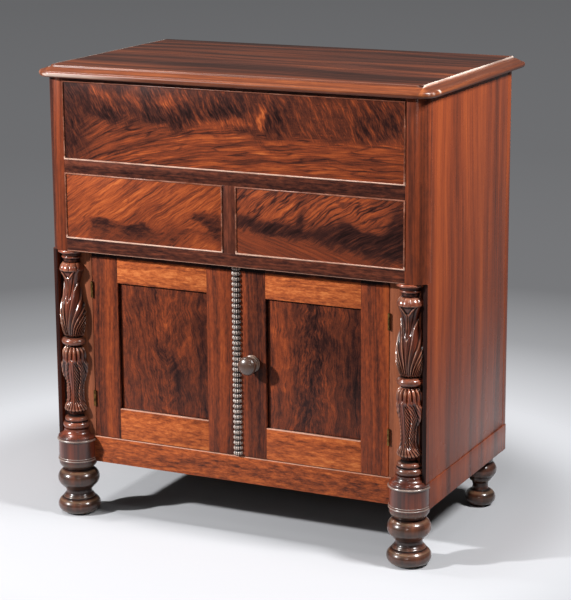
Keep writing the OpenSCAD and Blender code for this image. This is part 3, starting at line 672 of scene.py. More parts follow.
def makeLidWood(look):
    # the moulded edge is lighter than the flat of the lid, and its end grain runs along the edge
    material, start = newMaterial("lid_mahogany")
    x, y, z = point = objectPoint(start)
    behind = y - frontPlane
    out = abs(x)
    drift = start.noise(x * 1.3 + 37, y * 3, z * 3, detail=1.0) - 0.5
    side = out.soft(0.4395, 0.4405)
    front = behind.fade(0.0045, 0.0055)
    flat = (start.noise(x * 0.9 + 37, y * 17 + drift * 3, z * 17, detail=2.0) - 0.5) * 1.9
    flatLines = start.noise(x * 4 + 37, y * 140 + drift * 14, z * 140, detail=4.0, roughness=0.7)
    flat = flat + (flatLines - 0.5) * 1.3
    end = (start.noise(y * 1.4 + 51, x * 30, z * 40, detail=2.0) - 0.5) * 0.9
    end = end + (start.noise(y * 6 + 51, x * 200, z * 240, detail=3.0, roughness=0.7) - 0.5) * 0.7
    rim = (start.noise(x * 5 + 71, y * 120, z * 200, detail=4.0, roughness=0.7) - 0.5) * 1.1
    band = start.math("MAXIMUM", side * 0.08, front * 0.12)
    tone = blend(look["flatTone"] + flat, look["edgeTone"] + rim, front)
    tone = blend(tone, look["edgeTone"] + end, side) + band
    # pale lines along the edges of the flat, wear with painted highlight, and a painted highlight along the
    # nose at the left
    patchy = start.noise(x * 7, y * 7, z * 7, detail=3.0).soft(0.34, 0.56)
    flatFront = behind.soft(0.003, 0.005) * out.fade(0.44, 0.442)
    sideLine = abs(out - look["sideEdge"]).fade(0.0008, 0.0018) * behind.soft(0.003, 0.005)
    frontLine = abs(behind - look["frontEdge"]).fade(0.0005, 0.0014) * flatFront * patchy
    top = z.soft(1.018, 1.022)
    noseHighlight = abs(z - look["noseHeight"]).fade(0.0015, 0.004) * y.fade(-0.277, -0.274)
    noseHighlight = noseHighlight * (x + (patchy - 0.5) * 0.1).fade(-0.42, -0.12)
    wearAndHighlights = (sideLine * (0.4 + patchy * 0.6) + frontLine * 0.1) * top + noseHighlight * 0.75
    for atX, atY, atZ, size in look["bruisesAndGlint"]:
        away = square(x - atX) + square(y - atY) + square(z - atZ)
        wearAndHighlights = wearAndHighlights + (away * (-1 / size ** 2)).exp() * look["bruiseAndGlintStrength"]
    polish(start, tone, point, (x * 70, y * 1100, z * 1100), look,
           start.math("MINIMUM", wearAndHighlights, 1.0), start.math("MAXIMUM", side, front) * 0.4)
    return material


lidWood = makeLidWood(lidLook)


# turned and carved wood

turnedLook = {
    "tones": [(0.0, 28, 12, 9), (0.35, 62, 27, 18), (0.65, 104, 46, 28), (1.0, 156, 74, 44)],
    "cutPolishAndShade": tint(12, 7, 6),  # old polish in the cuts, with painted shade: nearly black
    "wornLitCrest": tint(208, 146, 116),  # worn crests, with painted highlight
    "roughness": 0.36,
    "gloss": 0.2,
    "coatRoughness": 0.17,
}
footLook = {
    **turnedLook,
    "tones": [(0.0, 22, 12, 9), (0.35, 44, 23, 17), (0.65, 78, 40, 28), (1.0, 122, 70, 46)],
    "wornLitCrest": tint(190, 152, 118),
}
astragalLook = {
    **turnedLook,
    "tones": [(0.0, 40, 22, 17), (1.0, 104, 64, 48)],
    "wornLitCrest": tint(244, 226, 212),
    "roughness": 0.3,
    "gloss": 0.6,
    "coatRoughness": 0.26,
}
knobLook = {
    **turnedLook,
    "tones": [(0.0, 44, 28, 22), (0.5, 80, 56, 44), (1.0, 112, 84, 68)],
    "wornLitCrest": tint(206, 172, 150),
    "gloss": 0.4,
    "coatRoughness": 0.24,
}


def makeTurnedWood(name, look):
    # dark glossy mahogany, painted nearly black in the cuts as gathered polish with painted shade, and pale
    # on the crests as wear with painted highlight
    material, start = newMaterial(name)
    x, y, z = objectPoint(start)
    grain = start.noise(z * 3, x * 120, y * 120, detail=3.0, roughness=0.6)
    patch = start.noise(z * 6, x * 26, y * 26, detail=2.0)
    cloud = start.noise(x * 30, y * 30, z * 30, detail=3.0)
    cut, ridge, worn = [markAt(start, name) for name in ("cavity", "ridge", "wear")]
    colour = (0.5 + (grain - 0.5) * 0.8 + (patch - 0.5) * 1.4).ramp(toneStops(look["tones"]))
    colour = (cut * 0.97).mix(colour, look["cutPolishAndShade"])
    colour = (ridge * (0.1 + cloud * 0.8) + worn).mix(colour, look["wornLitCrest"])
    roughness = look["roughness"] + (cloud - 0.5) * 0.16 + cut * 0.35
    height = start.noise(x * 90, y * 90, z * 90, detail=2.0) + grain * 0.4
    finishMaterial(start, colour, roughness, height, 0.2, 0.4 * mm, {
        "Specular IOR Level": look["gloss"],
        "Coat Weight": 1 - cut,
        "Coat Roughness": look["coatRoughness"],
    })
    return material


turnedWood = makeTurnedWood("turned_mahogany", turnedLook)
footWood = makeTurnedWood("foot_mahogany", footLook)
astragalWood = makeTurnedWood("astragal_mahogany", astragalLook)
knobWood = makeTurnedWood("knob_mahogany", knobLook)


# metal and leather

brassLook = {"clean": tint(138, 106, 60), "dull": tint(72, 52, 34), "roughness": 0.42, "cloudScale": 120.0}
zincLook = {"clean": tint(168, 172, 176), "dull": tint(122, 126, 128), "roughness": 0.42, "cloudScale": 26.0}
leatherLook = {"dark": tint(52, 30, 20), "light": tint(96, 60, 38), "roughness": 0.6, "cellScale": 900}


def makeMetal(name, look):
    material, start = newMaterial(name)
    x, y, z = objectPoint(start)
    scale = look["cloudScale"]
    cloud = start.noise(x * scale, y * scale, z * scale, detail=4.0, roughness=0.6)
    brushed = start.noise(x * 900, y * 900, z * 90, detail=2.0)
    colour = cloud.soft(0.38, 0.66).mix(look["clean"], look["dull"])
    finishMaterial(start, colour, look["roughness"] + (cloud - 0.5) * 0.4, brushed + cloud * 2,
                   0.2, 0.2 * mm, {"Metallic": 1.0})
    return material


def makeLeather(name, look):
    material, start = newMaterial(name)
    x, y, z = objectPoint(start)
    scale = look["cellScale"]
    cells = start.noise(x * scale, y * scale, z * scale, detail=3.0)
    colour = cells.ramp([(0.3, look["dark"]), (0.7, look["light"])])
    finishMaterial(start, colour, look["roughness"] + (cells - 0.5) * 0.2, cells, 0.4, 0.2 * mm, {})
    return material


brassMetal = makeMetal("aged_brass", brassLook)
zincMetal = makeMetal("zinc_sheet", zincLook)
padLeather = makeLeather("pad_leather", leatherLook)
print("materials made:", len(bpy.data.materials))


# boards and other pieces of the frame

def addPiece(name, mesh, material, body, slot, replaced=(), angle=32):
    # angle is the bend in degrees over which an edge stays sharp
    mesh.materials.clear()
    mesh.materials.append(material)
    mesh.shade_smooth()
    mesh.set_sharp_from_angle(angle=math.radians(angle))
    piece = bpy.data.objects.new(name, mesh)
    bpy.context.scene.collection.objects.link(piece)
    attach(piece, body)
    if replaced:
        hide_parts(*replaced)
    return piece


def addMark(mesh, name, values):
    attribute = mesh.attributes.new(name, "FLOAT", "POINT")
    attribute.data.foreach_set("value", np.ascontiguousarray(values, dtype=np.float32))


def rowsMesh(name, points, ridge, cavity):
    # a closed mesh through rows of points, each row running once round it, and its marks
    rows, count = ridge.shape
    faces = []
    for i in range(rows - 1):
        for k in range(count):
            a, b = i * count + k, i * count + (k + 1) % count
            faces.append((a, b, b + count, a + count))
    faces.append(tuple(range(count - 1, -1, -1)))
    faces.append(tuple(range((rows - 1) * count, rows * count)))
    mesh = bpy.data.meshes.new(name)
    mesh.from_pydata(points, [], faces)
    mesh.update()
    addMark(mesh, "ridge", ridge.ravel())
    addMark(mesh, "cavity", cavity.ravel())
    return mesh


dressing = {
    "merge": 0.002 * mm,  # points closer than this are one
    "flat": 0.6,  # degrees
    "sharp": 32,  # degrees
    "segments": 2,
    "profile": 0.6,
    "rowStep": 1.5 * mm,  # between the rows added to turned pieces
}
turnedAxes = {
    "left_drum": (-0.408, 0.0256 + frontPlane),
    "right_drum": (0.408, 0.0256 + frontPlane),
    "front_left_foot": (-0.408, 0.0256 + frontPlane),
    "front_right_foot": (0.408, 0.0256 + frontPlane),
    "rear_left_foot": (-0.41, 0.45 + frontPlane),
    "rear_right_foot": (0.41, 0.45 + frontPlane),
}
turnedMarks = {
    "level": 0.5 * mm,  # height of one level of the profile
    "reach": 5 * mm,
    "depth": 2.2 * mm,
    "skin": 1.5 * mm,
    "ridge": 0.6,
}


def profileMarks(radii, heights, reach, depth):
    # crests and hollows of a turned profile against its neighbourhood
    near = np.abs(heights[:, None] - heights[None, :]) < reach
    local = radii - (near * radii[None, :]).sum(1) / near.sum(1)
    return np.clip(local / depth, 0, 1), np.clip(-local / depth, 0, 1)


def markProfile(mesh, axis, look):
    points = np.array([v.co[:] for v in mesh.vertices])
    radii = np.hypot(points[:, 0] - axis[0], points[:, 1] - axis[1])
    level = np.round(points[:, 2] / look["level"]).astype(int)
    levels = np.unique(level)
    outer = np.array([radii[level == one].max() for one in levels])
    wornLitCrest, hollow = profileMarks(outer, levels * look["level"], look["reach"], look["depth"])
    at = np.searchsorted(levels, level)
    onSkin = radii > outer[at] - look["skin"]
    # crests get the pale colour of wear with painted highlight, hollows painted shade
    addMark(mesh, "ridge", wornLitCrest[at] * onSkin * look["ridge"])
    addMark(mesh, "cavity", hollow[at] * onSkin)


def dressNode(node, material, slot, edge):
    # a piece of the frame with its sharp edges eased, and a wear mark along them
    source = cadNodes[node]
    shape = bmesh.new()
    shape.from_mesh(source.data)
    bmesh.ops.remove_doubles(shape, verts=shape.verts, dist=dressing["merge"])
    bmesh.ops.dissolve_limit(shape, angle_limit=math.radians(dressing["flat"]), verts=shape.verts,
                             edges=shape.edges)
    worn = set()
    if edge:
        bend = math.radians(dressing["sharp"])
        sharp = [e for e in shape.edges if len(e.link_faces) == 2 and e.calc_face_angle() > bend]
        made = bmesh.ops.bevel(shape, geom=sharp, offset=edge * mm, segments=dressing["segments"],
                               profile=dressing["profile"], affect="EDGES", clamp_overlap=True)
        strips = set(made["faces"])
        worn = {v for v in shape.verts if all(f in strips for f in v.link_faces)}
    if node in turnedAxes:
        # rows close enough together for the marks of the profile
        low = min(v.co.z for v in shape.verts)
        high = max(v.co.z for v in shape.verts)
        for height in np.arange(low + dressing["rowStep"], high - mm, dressing["rowStep"]):
            bmesh.ops.bisect_plane(shape, geom=shape.verts[:] + shape.edges[:] + shape.faces[:], dist=1e-5,
                                   plane_co=(0, 0, height), plane_no=(0, 0, 1))
    shape.verts.index_update()
    worn = {v.index for v in worn if v.is_valid}
    mesh = bpy.data.meshes.new(node + "_dressed")
    shape.to_mesh(mesh)
    shape.free()
    addMark(mesh, "wear", [1.0 if i in worn else 0.0 for i in range(len(mesh.vertices))])
    if node in turnedAxes and not node.endswith("drum"):
        markProfile(mesh, turnedAxes[node], turnedMarks)
    return addPiece(node + "_dressed", mesh, material, source["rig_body"], slot, (node,))


boards = [  # nodes, material, the record's slot, and how far the edges are eased in millimetres
    (("left_side_panel", "right_side_panel", "left_rear_stile", "right_rear_stile"), sideWood,
     "mahogany", 0.5),
    (("left_plinth_rail", "right_plinth_rail"), sideWood, "mahogany", 0.7),
    (("left_corner_post", "right_corner_post"), postWood, "mahogany", 0.5),
    (("top_front_rail", "middle_rail", "waist_rail"), railWood, "mahogany", 0.5),
    (("center_muntin",), muntinWood, "mahogany", 0.4),
    (("upper_blind_front",), upperVeneer, "crotch_veneer", 0.4),
    (("left_blind_front",), leftVeneer, "crotch_veneer", 0.4),
    (("right_blind_front",), rightVeneer, "crotch_veneer", 0.4),
    (("upper_cockbead", "left_cockbead", "right_cockbead"), beadWood, "bead_wood", 0),
    (("left_front_stile", "right_front_stile"), frontStileWood, "light_mahogany", 0.6),
    (("front_plinth_rail",), plinthWood, "light_mahogany", 0.8),
    (("rear_plinth_rail", "cupboard_floor", "well_floor", "lower_back_board", "upper_back_board",
      "door_stops", "latch_bar"), pineWood, "secondary_wood", 0.8),
    (("hinge_rail", "lid_battens"), railWood, "mahogany", 0.8),
    (("left_door_outer_stile", "left_door_meeting_stile", "right_door_outer_stile",
      "right_door_meeting_stile"), doorStileWood, "mahogany", 0.5),
    (("left_door_top_rail", "left_door_bottom_rail", "right_door_top_rail",
      "right_door_bottom_rail"), doorRailWood, "light_mahogany", 0.5),
    (("left_door_panel",), leftPanelVeneer, "crotch_veneer", 0.4),
    (("right_door_panel",), rightPanelVeneer, "crotch_veneer", 0.4),
    (("lid_panel",), lidWood, "mahogany", 0.4),
    (("left_drum", "right_drum"), turnedWood, "turned_mahogany", 1.3),
    (("front_left_foot", "front_right_foot", "rear_left_foot", "rear_right_foot"), footWood,
     "turned_mahogany", 0),
    (("well_liner",), zincMetal, "zinc", 0.4),
    (("lid_rest_pads",), padLeather, "leather", 0.3),
    (("lid_hinge_case_leaves", "door_hinge_case_leaves", "lid_hinge_lid_leaves", "left_door_hinge_leaves",
      "right_door_hinge_leaves", "left_bolt_plate", "left_bolt_rod"), brassMetal, "brass", 0.2),
]
for names, material, slot, edge in boards:
    for name in names:
        dressNode(name, material, slot, edge)
print("boards dressed")


# carved columns

columnShape = {
    "axis": (0.408, 25.6 * mm + frontPlane),
    "foot": 200.0,  # millimetres above the floor; the other heights count from it
    "lowerLeaves": (31, 194),
    "upperLeaves": (214, 388.6),
    # where the crests get most of the pale colour of wear and painted highlight
    "wornLitLeaves": ((31, 194), (214, 388)),
    "rowStep": 0.7,  # between two rows of the relief
    "around": 260,
    "planedAngle": 97.0,  # degrees from straight ahead, about where the flat back starts
    "cavityDepth": 0.9,
    "ridgeStart": 0.25,
    "ridgeDepth": 0.8,
}
lowerLeaf = {
    # height above the foot of the leaves and radius over them
    "outline": [
        (0, 15.5), (5, 18.5), (9, 22), (12, 26.2), (14.5, 27.6), (19, 26.8), (27, 24.2), (38, 21.6),
        (52, 20.6), (66, 21), (84, 22.6), (100, 24.4), (114, 26.6), (126, 28.3), (136, 28.9),
        (144, 28.2), (151, 26.4), (156.5, 23.6), (160.5, 19.5), (163, 15.5),
    ],
    "spine": -14.0,  # degrees towards the doors, from straight ahead
    "fingerDepth": 5.0,
    "fingerSpread": 23.0,
    "foldDepth": 4.2,
    "foldSpread": 38,
    "barbDepth": 2.3,
    "barbPitch": 9.0,
    "bulge": 7.2,
}
upperLeaf = {
    "outline": [
        (0, 15.5), (3, 20), (10, 23.6), (22, 27), (38, 29.6), (52, 30.4), (66, 29.8), (80, 27.6), (93, 24.8),
        (104, 22.4), (114, 20.8), (122, 20.4), (130, 21.4), (138, 23.6), (146, 26.6), (152, 29), (156.5, 30),
        (161, 29), (166, 26.2), (170, 22.4), (174.6, 15.5),
    ],
    "spine": 4.0,
    "lobeDepth": 4.6,
    "lobeSpread": 10,
    "cupFoot": 131,  # height where the cup starts to open
}


def outlineRadius(outline, height):
    # a smooth curve through the points of an outline
    heights = np.array([row[0] for row in outline], float)
    radii = np.array([row[1] for row in outline], float)
    step = np.clip(np.searchsorted(heights, height, side="right") - 1, 0, len(heights) - 2)
    part = (height - heights[step]) / (heights[step + 1] - heights[step])
    slope = np.gradient(radii, heights)
    span = heights[step + 1] - heights[step]
    p2, p3 = part * part, part ** 3
    return ((2 * p3 - 3 * p2 + 1) * radii[step] + (p3 - 2 * p2 + part) * span * slope[step]
            + (3 * p2 - 2 * p3) * radii[step + 1] + (p3 - p2) * span * slope[step + 1])


def smooth(value, low, high):
    part = np.clip((value - low) / (high - low), 0, 1)
    return part * part * (3 - 2 * part)


def bump(value, middle, width):
    return np.exp(-((value - middle) / width) ** 2)


def rounded(phase, power):
    # rounded lobes with sharp cuts between them, from 0 in a cut to 1 on a crest
    return np.abs(np.sin(np.pi * phase)) ** power


def overlapped(phase):
    # leaf edges that overlap like tiles: a sharp crest, a gentle fall outwards and a short cut
    part = phase % 1.0
    return 1 - np.minimum(part / 0.84, (1 - part) / 0.16) ** 1.1


def lowerRelief(height, angle, side):
    # a collar of fingers over a leaf that hangs from it, with fine barbs and flaring tips
    look = lowerLeaf
    turn = angle - look["spine"] * side
    away = np.abs(turn)
    relief = outlineRadius(look["outline"], height)
    collar = smooth(height, 124 + 4 * np.cos(np.radians(away * 24)), 137) * (1 - smooth(height, 158, 161))
    spread = look["fingerSpread"] - 0.07 * (height - 130)
    relief -= look["fingerDepth"] * collar * (1 - rounded(turn / spread, 1.1))
    relief += 1.4 * collar * bump(height, 150, 9) * rounded(turn / spread, 1.2)
    leaf = smooth(height, 24, 34) * (1 - smooth(height, 120, 132))
    sway = away + 10 * np.sin((height - 20) / 100 * 2 * np.pi) + 0.2 * (height - 20)
    folds = overlapped(sway / look["foldSpread"] + 0.66)
    relief -= look["foldDepth"] * leaf * (1 - folds) * smooth(away, 6, 14)
    barbs = rounded((height + away / 1.3 + 3.0 * np.sin(away / 11)) / look["barbPitch"], 0.8)
    relief -= leaf * smooth(turn, 5, 12) * (1 - smooth(turn, 74, 88)) * look["barbDepth"] * (1 - barbs)
    relief -= leaf * smooth(-turn, 24, 32) * look["barbDepth"] * 0.6 * (1 - barbs)
    relief -= 1.8 * leaf * bump(away, 7, 2.6)
    swell = smooth(height, 74, 96) * (1 - smooth(height, 118, 142))
    relief += leaf * look["bulge"] * bump(away, 86, 18) * swell
    relief += leaf * 2.0 * bump(away, 64, 13) * bump(height, 56, 8)
    tips = (1 - smooth(height, 30, 46)) * smooth(height, 7, 11)
    flare = rounded(turn / (10 + 0.36 * np.clip(36 - height, 0, 30)) + 0.5, 0.6)
    relief -= tips * (1.0 + 3.4 * (1 - smooth(height, 14, 36))) * (1 - flare)
    return relief


def upperRelief(height, angle, side):
    # ribs fan out over the belly below a flared cup with a curled lip
    look = upperLeaf
    turn = angle - look["spine"] * side
    away = np.abs(turn)
    relief = outlineRadius(look["outline"], height)
    spread = look["lobeSpread"] + 0.0042 * height ** 2
    spread = spread + 0.02 * away * smooth(height, 20, 70)
    lobes = overlapped(away / spread + 0.34)
    depth = np.minimum(look["lobeDepth"], 1.2 + 0.16 * spread)
    ribs = rounded((away / spread + 0.34) * 2, 0.8)
    lobed = relief + 1.6 - depth * (1 - lobes) - 1.0 * (1 - ribs) * smooth(height, 24, 44)
    climb = height - away * 0.63 - 7 * lobes
    fan = (1 - smooth(climb, 76, 79)) * (1 - smooth(height, 124, 129))
    cup = relief - 1.9
    opened = height - look["cupFoot"]
    edge = 1.7 * opened
    face = smooth(edge - away, 0, 6) * smooth(height, 134, 139)
    lip = smooth(height, 150, 155.5)
    rim = bump(away, np.maximum(edge, 0) + 4, 4) * smooth(height, 96, 110)
    cup = cup - (1 - lip) * (2.8 * face - 1.6 * rim)
    cup = cup - (1 - lip) * 2.6 * bump(away, 34 + 0.5 * opened, 5) * smooth(height, 84, 98)
    cup = cup - 1.6 * bump(away, 0, 2.6) * (1 - smooth(height, 130, 136))
    cup = cup + lip * 1.9 - lip * 2.2 * (1 - rounded(turn / 37 + 0.5, 0.45))
    return cup + (lobed - cup) * fan


def arcPoints(centre, radius, start, end, steps=12):
    turns = np.radians(np.linspace(start, end, steps + 1))
    return [(centre[0] + radius * math.cos(a), centre[1] + radius * math.sin(a)) for a in turns]


def columnRows(side):
    # height above the column's foot and a radius that may change round it
    rows = []

    def plain(points):
        rows.extend((height, lambda angle, r=radius: np.full_like(angle, r)) for radius, height in points)

    def leaves(reach, relief):
        low, high = reach
        count = int((high - low) / columnShape["rowStep"])
        for height in np.linspace(0, high - low, count + 1):
            rows.append((low + height, lambda angle, h=height: relief(np.full_like(angle, h), angle, side)))

    plain(arcPoints((23.2, 8.8), 8.8, -70, 66, 16))
    plain([(26, 17.6)])
    plain(arcPoints((22.8, 22.6), 5, -70, 70, 12))
    plain([(18.5, 29.2), (18.5, 31)])
    leaves(columnShape["lowerLeaves"], lowerRelief)
    plain([(19, 194)])
    plain(arcPoints((21.5, 204), 8, -66, 66, 14))
    plain([(19, 214)])
    leaves(columnShape["upperLeaves"], upperRelief)
    plain([(19.5, 388.6), (19.5, 395.6)])
    plain(arcPoints((21.2, 398.1), 2.6, -70, 90, 10))
    plain(arcPoints((28, 401.8), 6, 180, 100, 10))
    plain(arcPoints((27.7, 411.8), 3.8, -80, 90, 12))
    return rows


def makeColumn(hand, side):
    rows = columnRows(side)
    axisX, axisY = columnShape["axis"][0] * side, columnShape["axis"][1]
    back = (doorPlane - axisY) / mm
    count = columnShape["around"] + 1
    radii = np.zeros((len(rows), count))
    turns = np.zeros((len(rows), count))
    for i, (height, radiusAt) in enumerate(rows):
        end = columnShape["planedAngle"]
        for _ in range(3):  # closer to the angle where the relief meets the doors' plane
            radius = float(radiusAt(np.array([end]))[0])
            end = math.degrees(math.acos(max(-0.95, -back / radius)))
        angle = np.linspace(-end, end, count)
        turns[i] = angle
        radii[i] = radiusAt(angle)
    heights = np.array([row[0] for row in rows])
    x = axisX + radii * np.sin(np.radians(turns)) * mm
    y = np.minimum(axisY - radii * np.cos(np.radians(turns)) * mm, doorPlane)
    z = np.repeat(((heights + columnShape["foot"]) * mm)[:, None], count, 1)
    points = np.stack([x, y, z], -1).reshape(-1, 3).tolist()
    # how far each point lies above or below its neighbourhood of 12 by 12 points
    total = np.cumsum(np.cumsum(np.pad(radii, 6, mode="edge"), 0), 1)
    blurred = (total[12:, 12:] - total[:-12, 12:] - total[12:, :-12] + total[:-12, :-12]) / 144
    local = radii - blurred
    carved = np.any([(heights > low) & (heights < high) for low, high in columnShape["wornLitLeaves"]], axis=0)
    # crests of the carving are marked for the pale colour of wear with painted highlight, hollows for painted
    # shade
    ridge = np.clip((local - columnShape["ridgeStart"]) / columnShape["ridgeDepth"], 0, 1)
    ridge = ridge * np.where(carved, 0.9, 0.2)[:, None]
    hollow = np.clip(-local / columnShape["cavityDepth"], 0, 1)
    mesh = rowsMesh(hand + "_carved_column", points, ridge, hollow)
    return addPiece(hand + "_column_carved", mesh, turnedWood, "case", "turned_mahogany",
                    (hand + "_column",), 50)


for hand, side in hands.items():
    makeColumn(hand, side)
print("columns carved")


# mouldings of the drums

drumRings = {
    "rings": [(44.4, 175.6, 2.3), (44.0, 128.5, 1.5), (43.6, 133.5, 0.9)],  # radius, height and thickness
    "end": 92,  # degrees from straight ahead
    "around": 49,
    "corners": 10,
    "worn": 0.4,
}


def makeDrumRings(hand, side, look):
    # fine mouldings round a drum
    axisX, axisY = columnShape["axis"][0] * side, columnShape["axis"][1]
    shape = bmesh.new()
    turns = np.radians(np.linspace(-look["end"], look["end"], look["around"]))
    ends = np.radians(np.arange(look["corners"]) * (360 // look["corners"]))
    for radius, height, thick in look["rings"]:
        loops = []
        for turn in turns:
            loop = []
            for end in ends:
                out = radius + thick * math.cos(end)
                up = (height + thick * math.sin(end)) * mm
                place = (axisX + out * math.sin(turn) * mm, axisY - out * math.cos(turn) * mm, up)
                loop.append(shape.verts.new(place))
            loops.append(loop)
        for first, second in zip(loops, loops[1:]):
            for k in range(len(ends)):
                shape.faces.new((first[k - 1], first[k], second[k], second[k - 1]))
        shape.faces.new(loops[0])
        shape.faces.new(loops[-1][::-1])
    bmesh.ops.recalc_face_normals(shape, faces=shape.faces)
    name = hand + "_drum_rings"
    mesh = bpy.data.meshes.new(name)
    shape.to_mesh(mesh)
    shape.free()
    # every point of the rings gets part of the pale crest colour: painted sheen and wear
    addMark(mesh, "ridge", np.full(len(mesh.vertices), look["worn"]))
    return addPiece(name, mesh, astragalWood, "case", "turned_mahogany", (), 60)


for hand, side in hands.items():
    makeDrumRings(hand, side, drumRings)


# ring-turned astragal and knob

def latheMesh(name, radii, heights, spin, start, end, marks):
    # a radius for each row and angle; spin places a point from its radius, angle and height
    whole = end - start == 360
    count = radii.shape[1]
    turns = np.radians(np.linspace(start, end, count, endpoint=not whole))
    points = [spin(radii[i, k], turns[k], height) for i, height in enumerate(heights) for k in range(count)]
    return rowsMesh(name, points, *marks)


astragalShape = {  # millimetres and degrees
    "x": 1.5,
    "foot": 186.0,
    "rings": 36,
    "pitch": 427.6 / 36,
    "rowsPerRing": 10,
    "around": 61,
    "low": 5.6,
    "high": 10.4,
    "firstBead": -2.0,
    "beadPitch": 31.0,
}
knobShape = {  # millimetres; heights of the profile are distances in front of the door
    "x": 38.0,
    "z": 399.0,
    "shank": (5, -26.8),
    "flange": (17.4, 0.2),
    "neckRings": [  # centre, radius, start, end and steps of each ring, then the hollow after it
        ((16.9, 2.4), 2.2, -70, 80, 8, (13.6, 5.2)),
        ((16.2, 7.6), 1.9, -60, 70, 8, (13.2, 10.2)),
        ((14.4, 12.2), 1.7, -60, 50, 6, (13.2, 14.6)),
    ],
    "ball": (20.8, 25.0, 13.0),  # radius, middle and half length
    "tip": 0.01,
    "around": 72,
}


def makeAstragal(look):
    # rings cut into beads
    steps = look["rowsPerRing"]
    parts = np.append(np.tile(np.linspace(0, 1, steps + 1)[:-1], look["rings"]), 0.0)
    heights = look["foot"] + look["pitch"] * np.arange(len(parts)) / steps
    ring = np.sin(np.pi * parts)[:, None]
    turns = np.linspace(-90, 90, look["around"])[None, :]
    bead = np.abs(np.cos(np.radians((turns - look["firstBead"]) / look["beadPitch"] * 180)))
    full = ring ** 0.7 * (0.5 + 0.5 * bead ** 0.8)
    radii = look["low"] + (look["high"] - look["low"]) * full

    def spin(radius, turn, height):
        x = (look["x"] + radius * math.sin(turn)) * mm
        return x, doorPlane - radius * math.cos(turn) * mm, height * mm

    # painted highlights: the crests of the beads are coloured nearly white, and painted shade darkens the
    # gaps between them
    wornLitCrest = np.clip((ring * bead - 0.38) / 0.2, 0, 1)
    hollow = np.clip((0.5 - ring * bead) / 0.25, 0, 1)
    mesh = latheMesh("beaded_astragal", radii, heights, spin, -90, 90, (wornLitCrest, hollow))
    return addPiece("astragal_beaded", mesh, astragalWood, "right_door", "turned_mahogany", ("astragal",), 60)


def makeKnob(look):
    shankRadius, shankEnd = look["shank"]
    flangeRadius, flangeFace = look["flange"]
    ballRadius, ballMiddle, ballLength = look["ball"]
    rows = [(look["tip"], shankEnd), (shankRadius, shankEnd)]
    rows += [(shankRadius, flangeFace), (flangeRadius, flangeFace)]
    for centre, radius, start, end, steps, hollow in look["neckRings"]:
        rows += arcPoints(centre, radius, start, end, steps) + [hollow]
    neckEnd = look["neckRings"][-1][-1][1]
    for turn in np.radians(range(-48, 90, 6)):
        rows.append((ballRadius * math.cos(turn), ballMiddle + ballLength * math.sin(turn)))
    rows.append((look["tip"], ballMiddle + ballLength))
    profile, heights = np.array(rows).T
    wornLitCrest, hollow = profileMarks(profile, heights, 3.0, 1.2)
    neck = (heights > 0) & (heights < neckEnd + 0.4)

    def spin(radius, turn, out):
        return ((look["x"] - radius * math.sin(turn)) * mm, doorPlane - out * mm,
                (look["z"] + radius * math.cos(turn)) * mm)

    spread = np.ones((1, look["around"]))
    # the neck rings' crests get a pale colour as painted highlight, and their hollows painted shade
    marks = [(mark * neck)[:, None] * spread for mark in (wornLitCrest, hollow)]
    mesh = latheMesh("turned_knob", profile[:, None] * spread, heights, spin, -180, 180, marks)
    return addPiece("door_knob_turned", mesh, knobWood, "latch", "turned_mahogany", ("door_knob",), 60)


makeAstragal(astragalShape)
makeKnob(knobShape)
print("drum rings, astragal and knob turned")


# floor and light

floorLook = {
    "tone": 0.51,
    "bounced": 0.12,  # tone that the light it throws back on the object sees
    "paintedLightGreys": [  # metres from the middle, and the grey there: a painted pool of light, brightest round the object
        (0.0, 245), (0.8, 245), (0.87, 238), (1.15, 211), (1.62, 160), (2.3, 120), (5.0, 110), (12.0, 102),
    ],
    "cool": (0.995, 1.018),  # how much less red and more blue the greys are
    "litCool": (0.989, 1.04),
    "fade": (0.66, 1.0),  # metres from the middle where the backdrop's greys take over
    "middle": -0.12,
    "reach": 12.0,
    "size": 60.0,
}


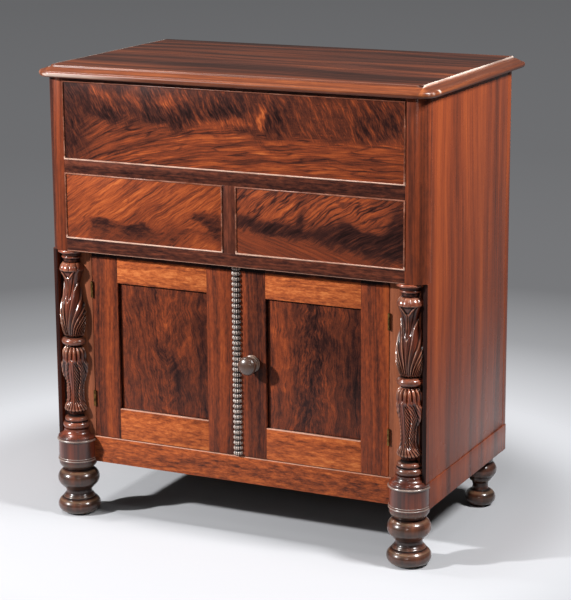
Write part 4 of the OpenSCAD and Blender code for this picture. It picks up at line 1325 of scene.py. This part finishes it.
def addFloor(look):
    material, start = newMaterial("studio_floor")
    x, y, z = objectPoint(start)
    distance = (square(x - look["middle"]) + y * y) ** 0.5
    lessRed, moreBlue = look["cool"]
    stops = [(at / look["reach"], tint(grey * lessRed, grey, grey * moreBlue)) for at, grey in look["paintedLightGreys"]]
    paintedLightGreys = (distance / look["reach"]).ramp(stops)
    lessRed, moreBlue = look["litCool"]
    near, dull = [start.node("BsdfPrincipled", None, {
        "Base Color": (tone * lessRed, tone, tone * moreBlue, 1), "Roughness": 0.8, "Specular IOR Level": 0.1,
    }) for tone in (look["tone"], look["bounced"])]
    # the far floor glows with these painted greys for camera and glossy rays
    far = start.node("BsdfPrincipled", None, {
        "Base Color": (0, 0, 0, 1), "Roughness": 1.0, "Specular IOR Level": 0.0,
        "Emission Color": paintedLightGreys, "Emission Strength": 1.0,
    })
    path = start.node("LightPath")
    seen = path.out("Is Camera Ray") + path.out("Is Glossy Ray") + path.out("Is Transmission Ray")
    shown = start.node("MixShader", None, {0: distance.soft(*look["fade"]), 1: near, 2: far})
    shader = start.node("MixShader", None, {0: seen, 1: dull, 2: shown})
    start.node("OutputMaterial", None, {"Surface": shader})
    mesh = bpy.data.meshes.new("studio_floor")
    half = look["size"] / 2
    corners = [(-half, -half, 0), (half, -half, 0), (half, half, 0), (-half, half, 0)]
    mesh.from_pydata(corners, [], [(0, 1, 2, 3)])
    mesh.materials.append(material)
    floor = bpy.data.objects.new("studio_floor", mesh)
    bpy.context.scene.collection.objects.link(floor)


studioLights = {
    "key_lamp": {"place": (-3.04, -3.01, 2.45), "size": (0.22, 0.22), "watts": 318},
    "right_softbox": {"place": (2.0, -0.34, 2.5), "size": (0.5, 0.6), "watts": 96},
    "left_softbox": {"place": (-1.8, -0.34, 3.1), "size": (0.5, 0.5), "watts": 40},
    "front_lamp": {"place": (1.2, -2.4, 3.9), "size": (0.3, 0.3), "watts": 9},
    "left_glint": {"place": (-1.5, -2.0, 1.35), "size": (0.12, 0.3), "watts": 2.5},
    "right_glint": {"place": (1.0, -2.9, 1.3), "size": (0.2, 0.3), "watts": 5},
}
lightsAimAt = (0, 0, 0.55)
worldLook = {"light": 0.03, "backdrop": 0.135}


def addLight(name, place, size, watts):
    data = bpy.data.lights.new(name, "AREA")
    data.shape = "RECTANGLE"
    data.size, data.size_y = size
    data.energy = watts
    lamp = bpy.data.objects.new(name, data)
    bpy.context.scene.collection.objects.link(lamp)
    lamp.location = place
    aim = Vector(lightsAimAt) - Vector(place)
    lamp.rotation_euler = aim.to_track_quat("-Z", "Y").to_euler()


def addWorld(look):
    world = bpy.data.worlds.new("studio")
    world.use_nodes = True
    world.node_tree.nodes.clear()
    start = Field(world.node_tree)
    path = start.node("LightPath")
    seen = path.out("Is Camera Ray") + path.out("Is Glossy Ray")
    grey = look["backdrop"]
    light = start.node("Background", None, {"Color": (1, 1, 1, 1), "Strength": look["light"]})
    shown = start.node("Background", None, {"Color": (grey, grey, grey, 1), "Strength": 1.0})
    mixed = start.node("MixShader", None, {0: seen, 1: light, 2: shown})
    start.node("OutputWorld", None, {"Surface": mixed})
    bpy.context.scene.world = world


addFloor(floorLook)
for name, light in studioLights.items():
    addLight(name, **light)
addWorld(worldLook)
print("studio ready")
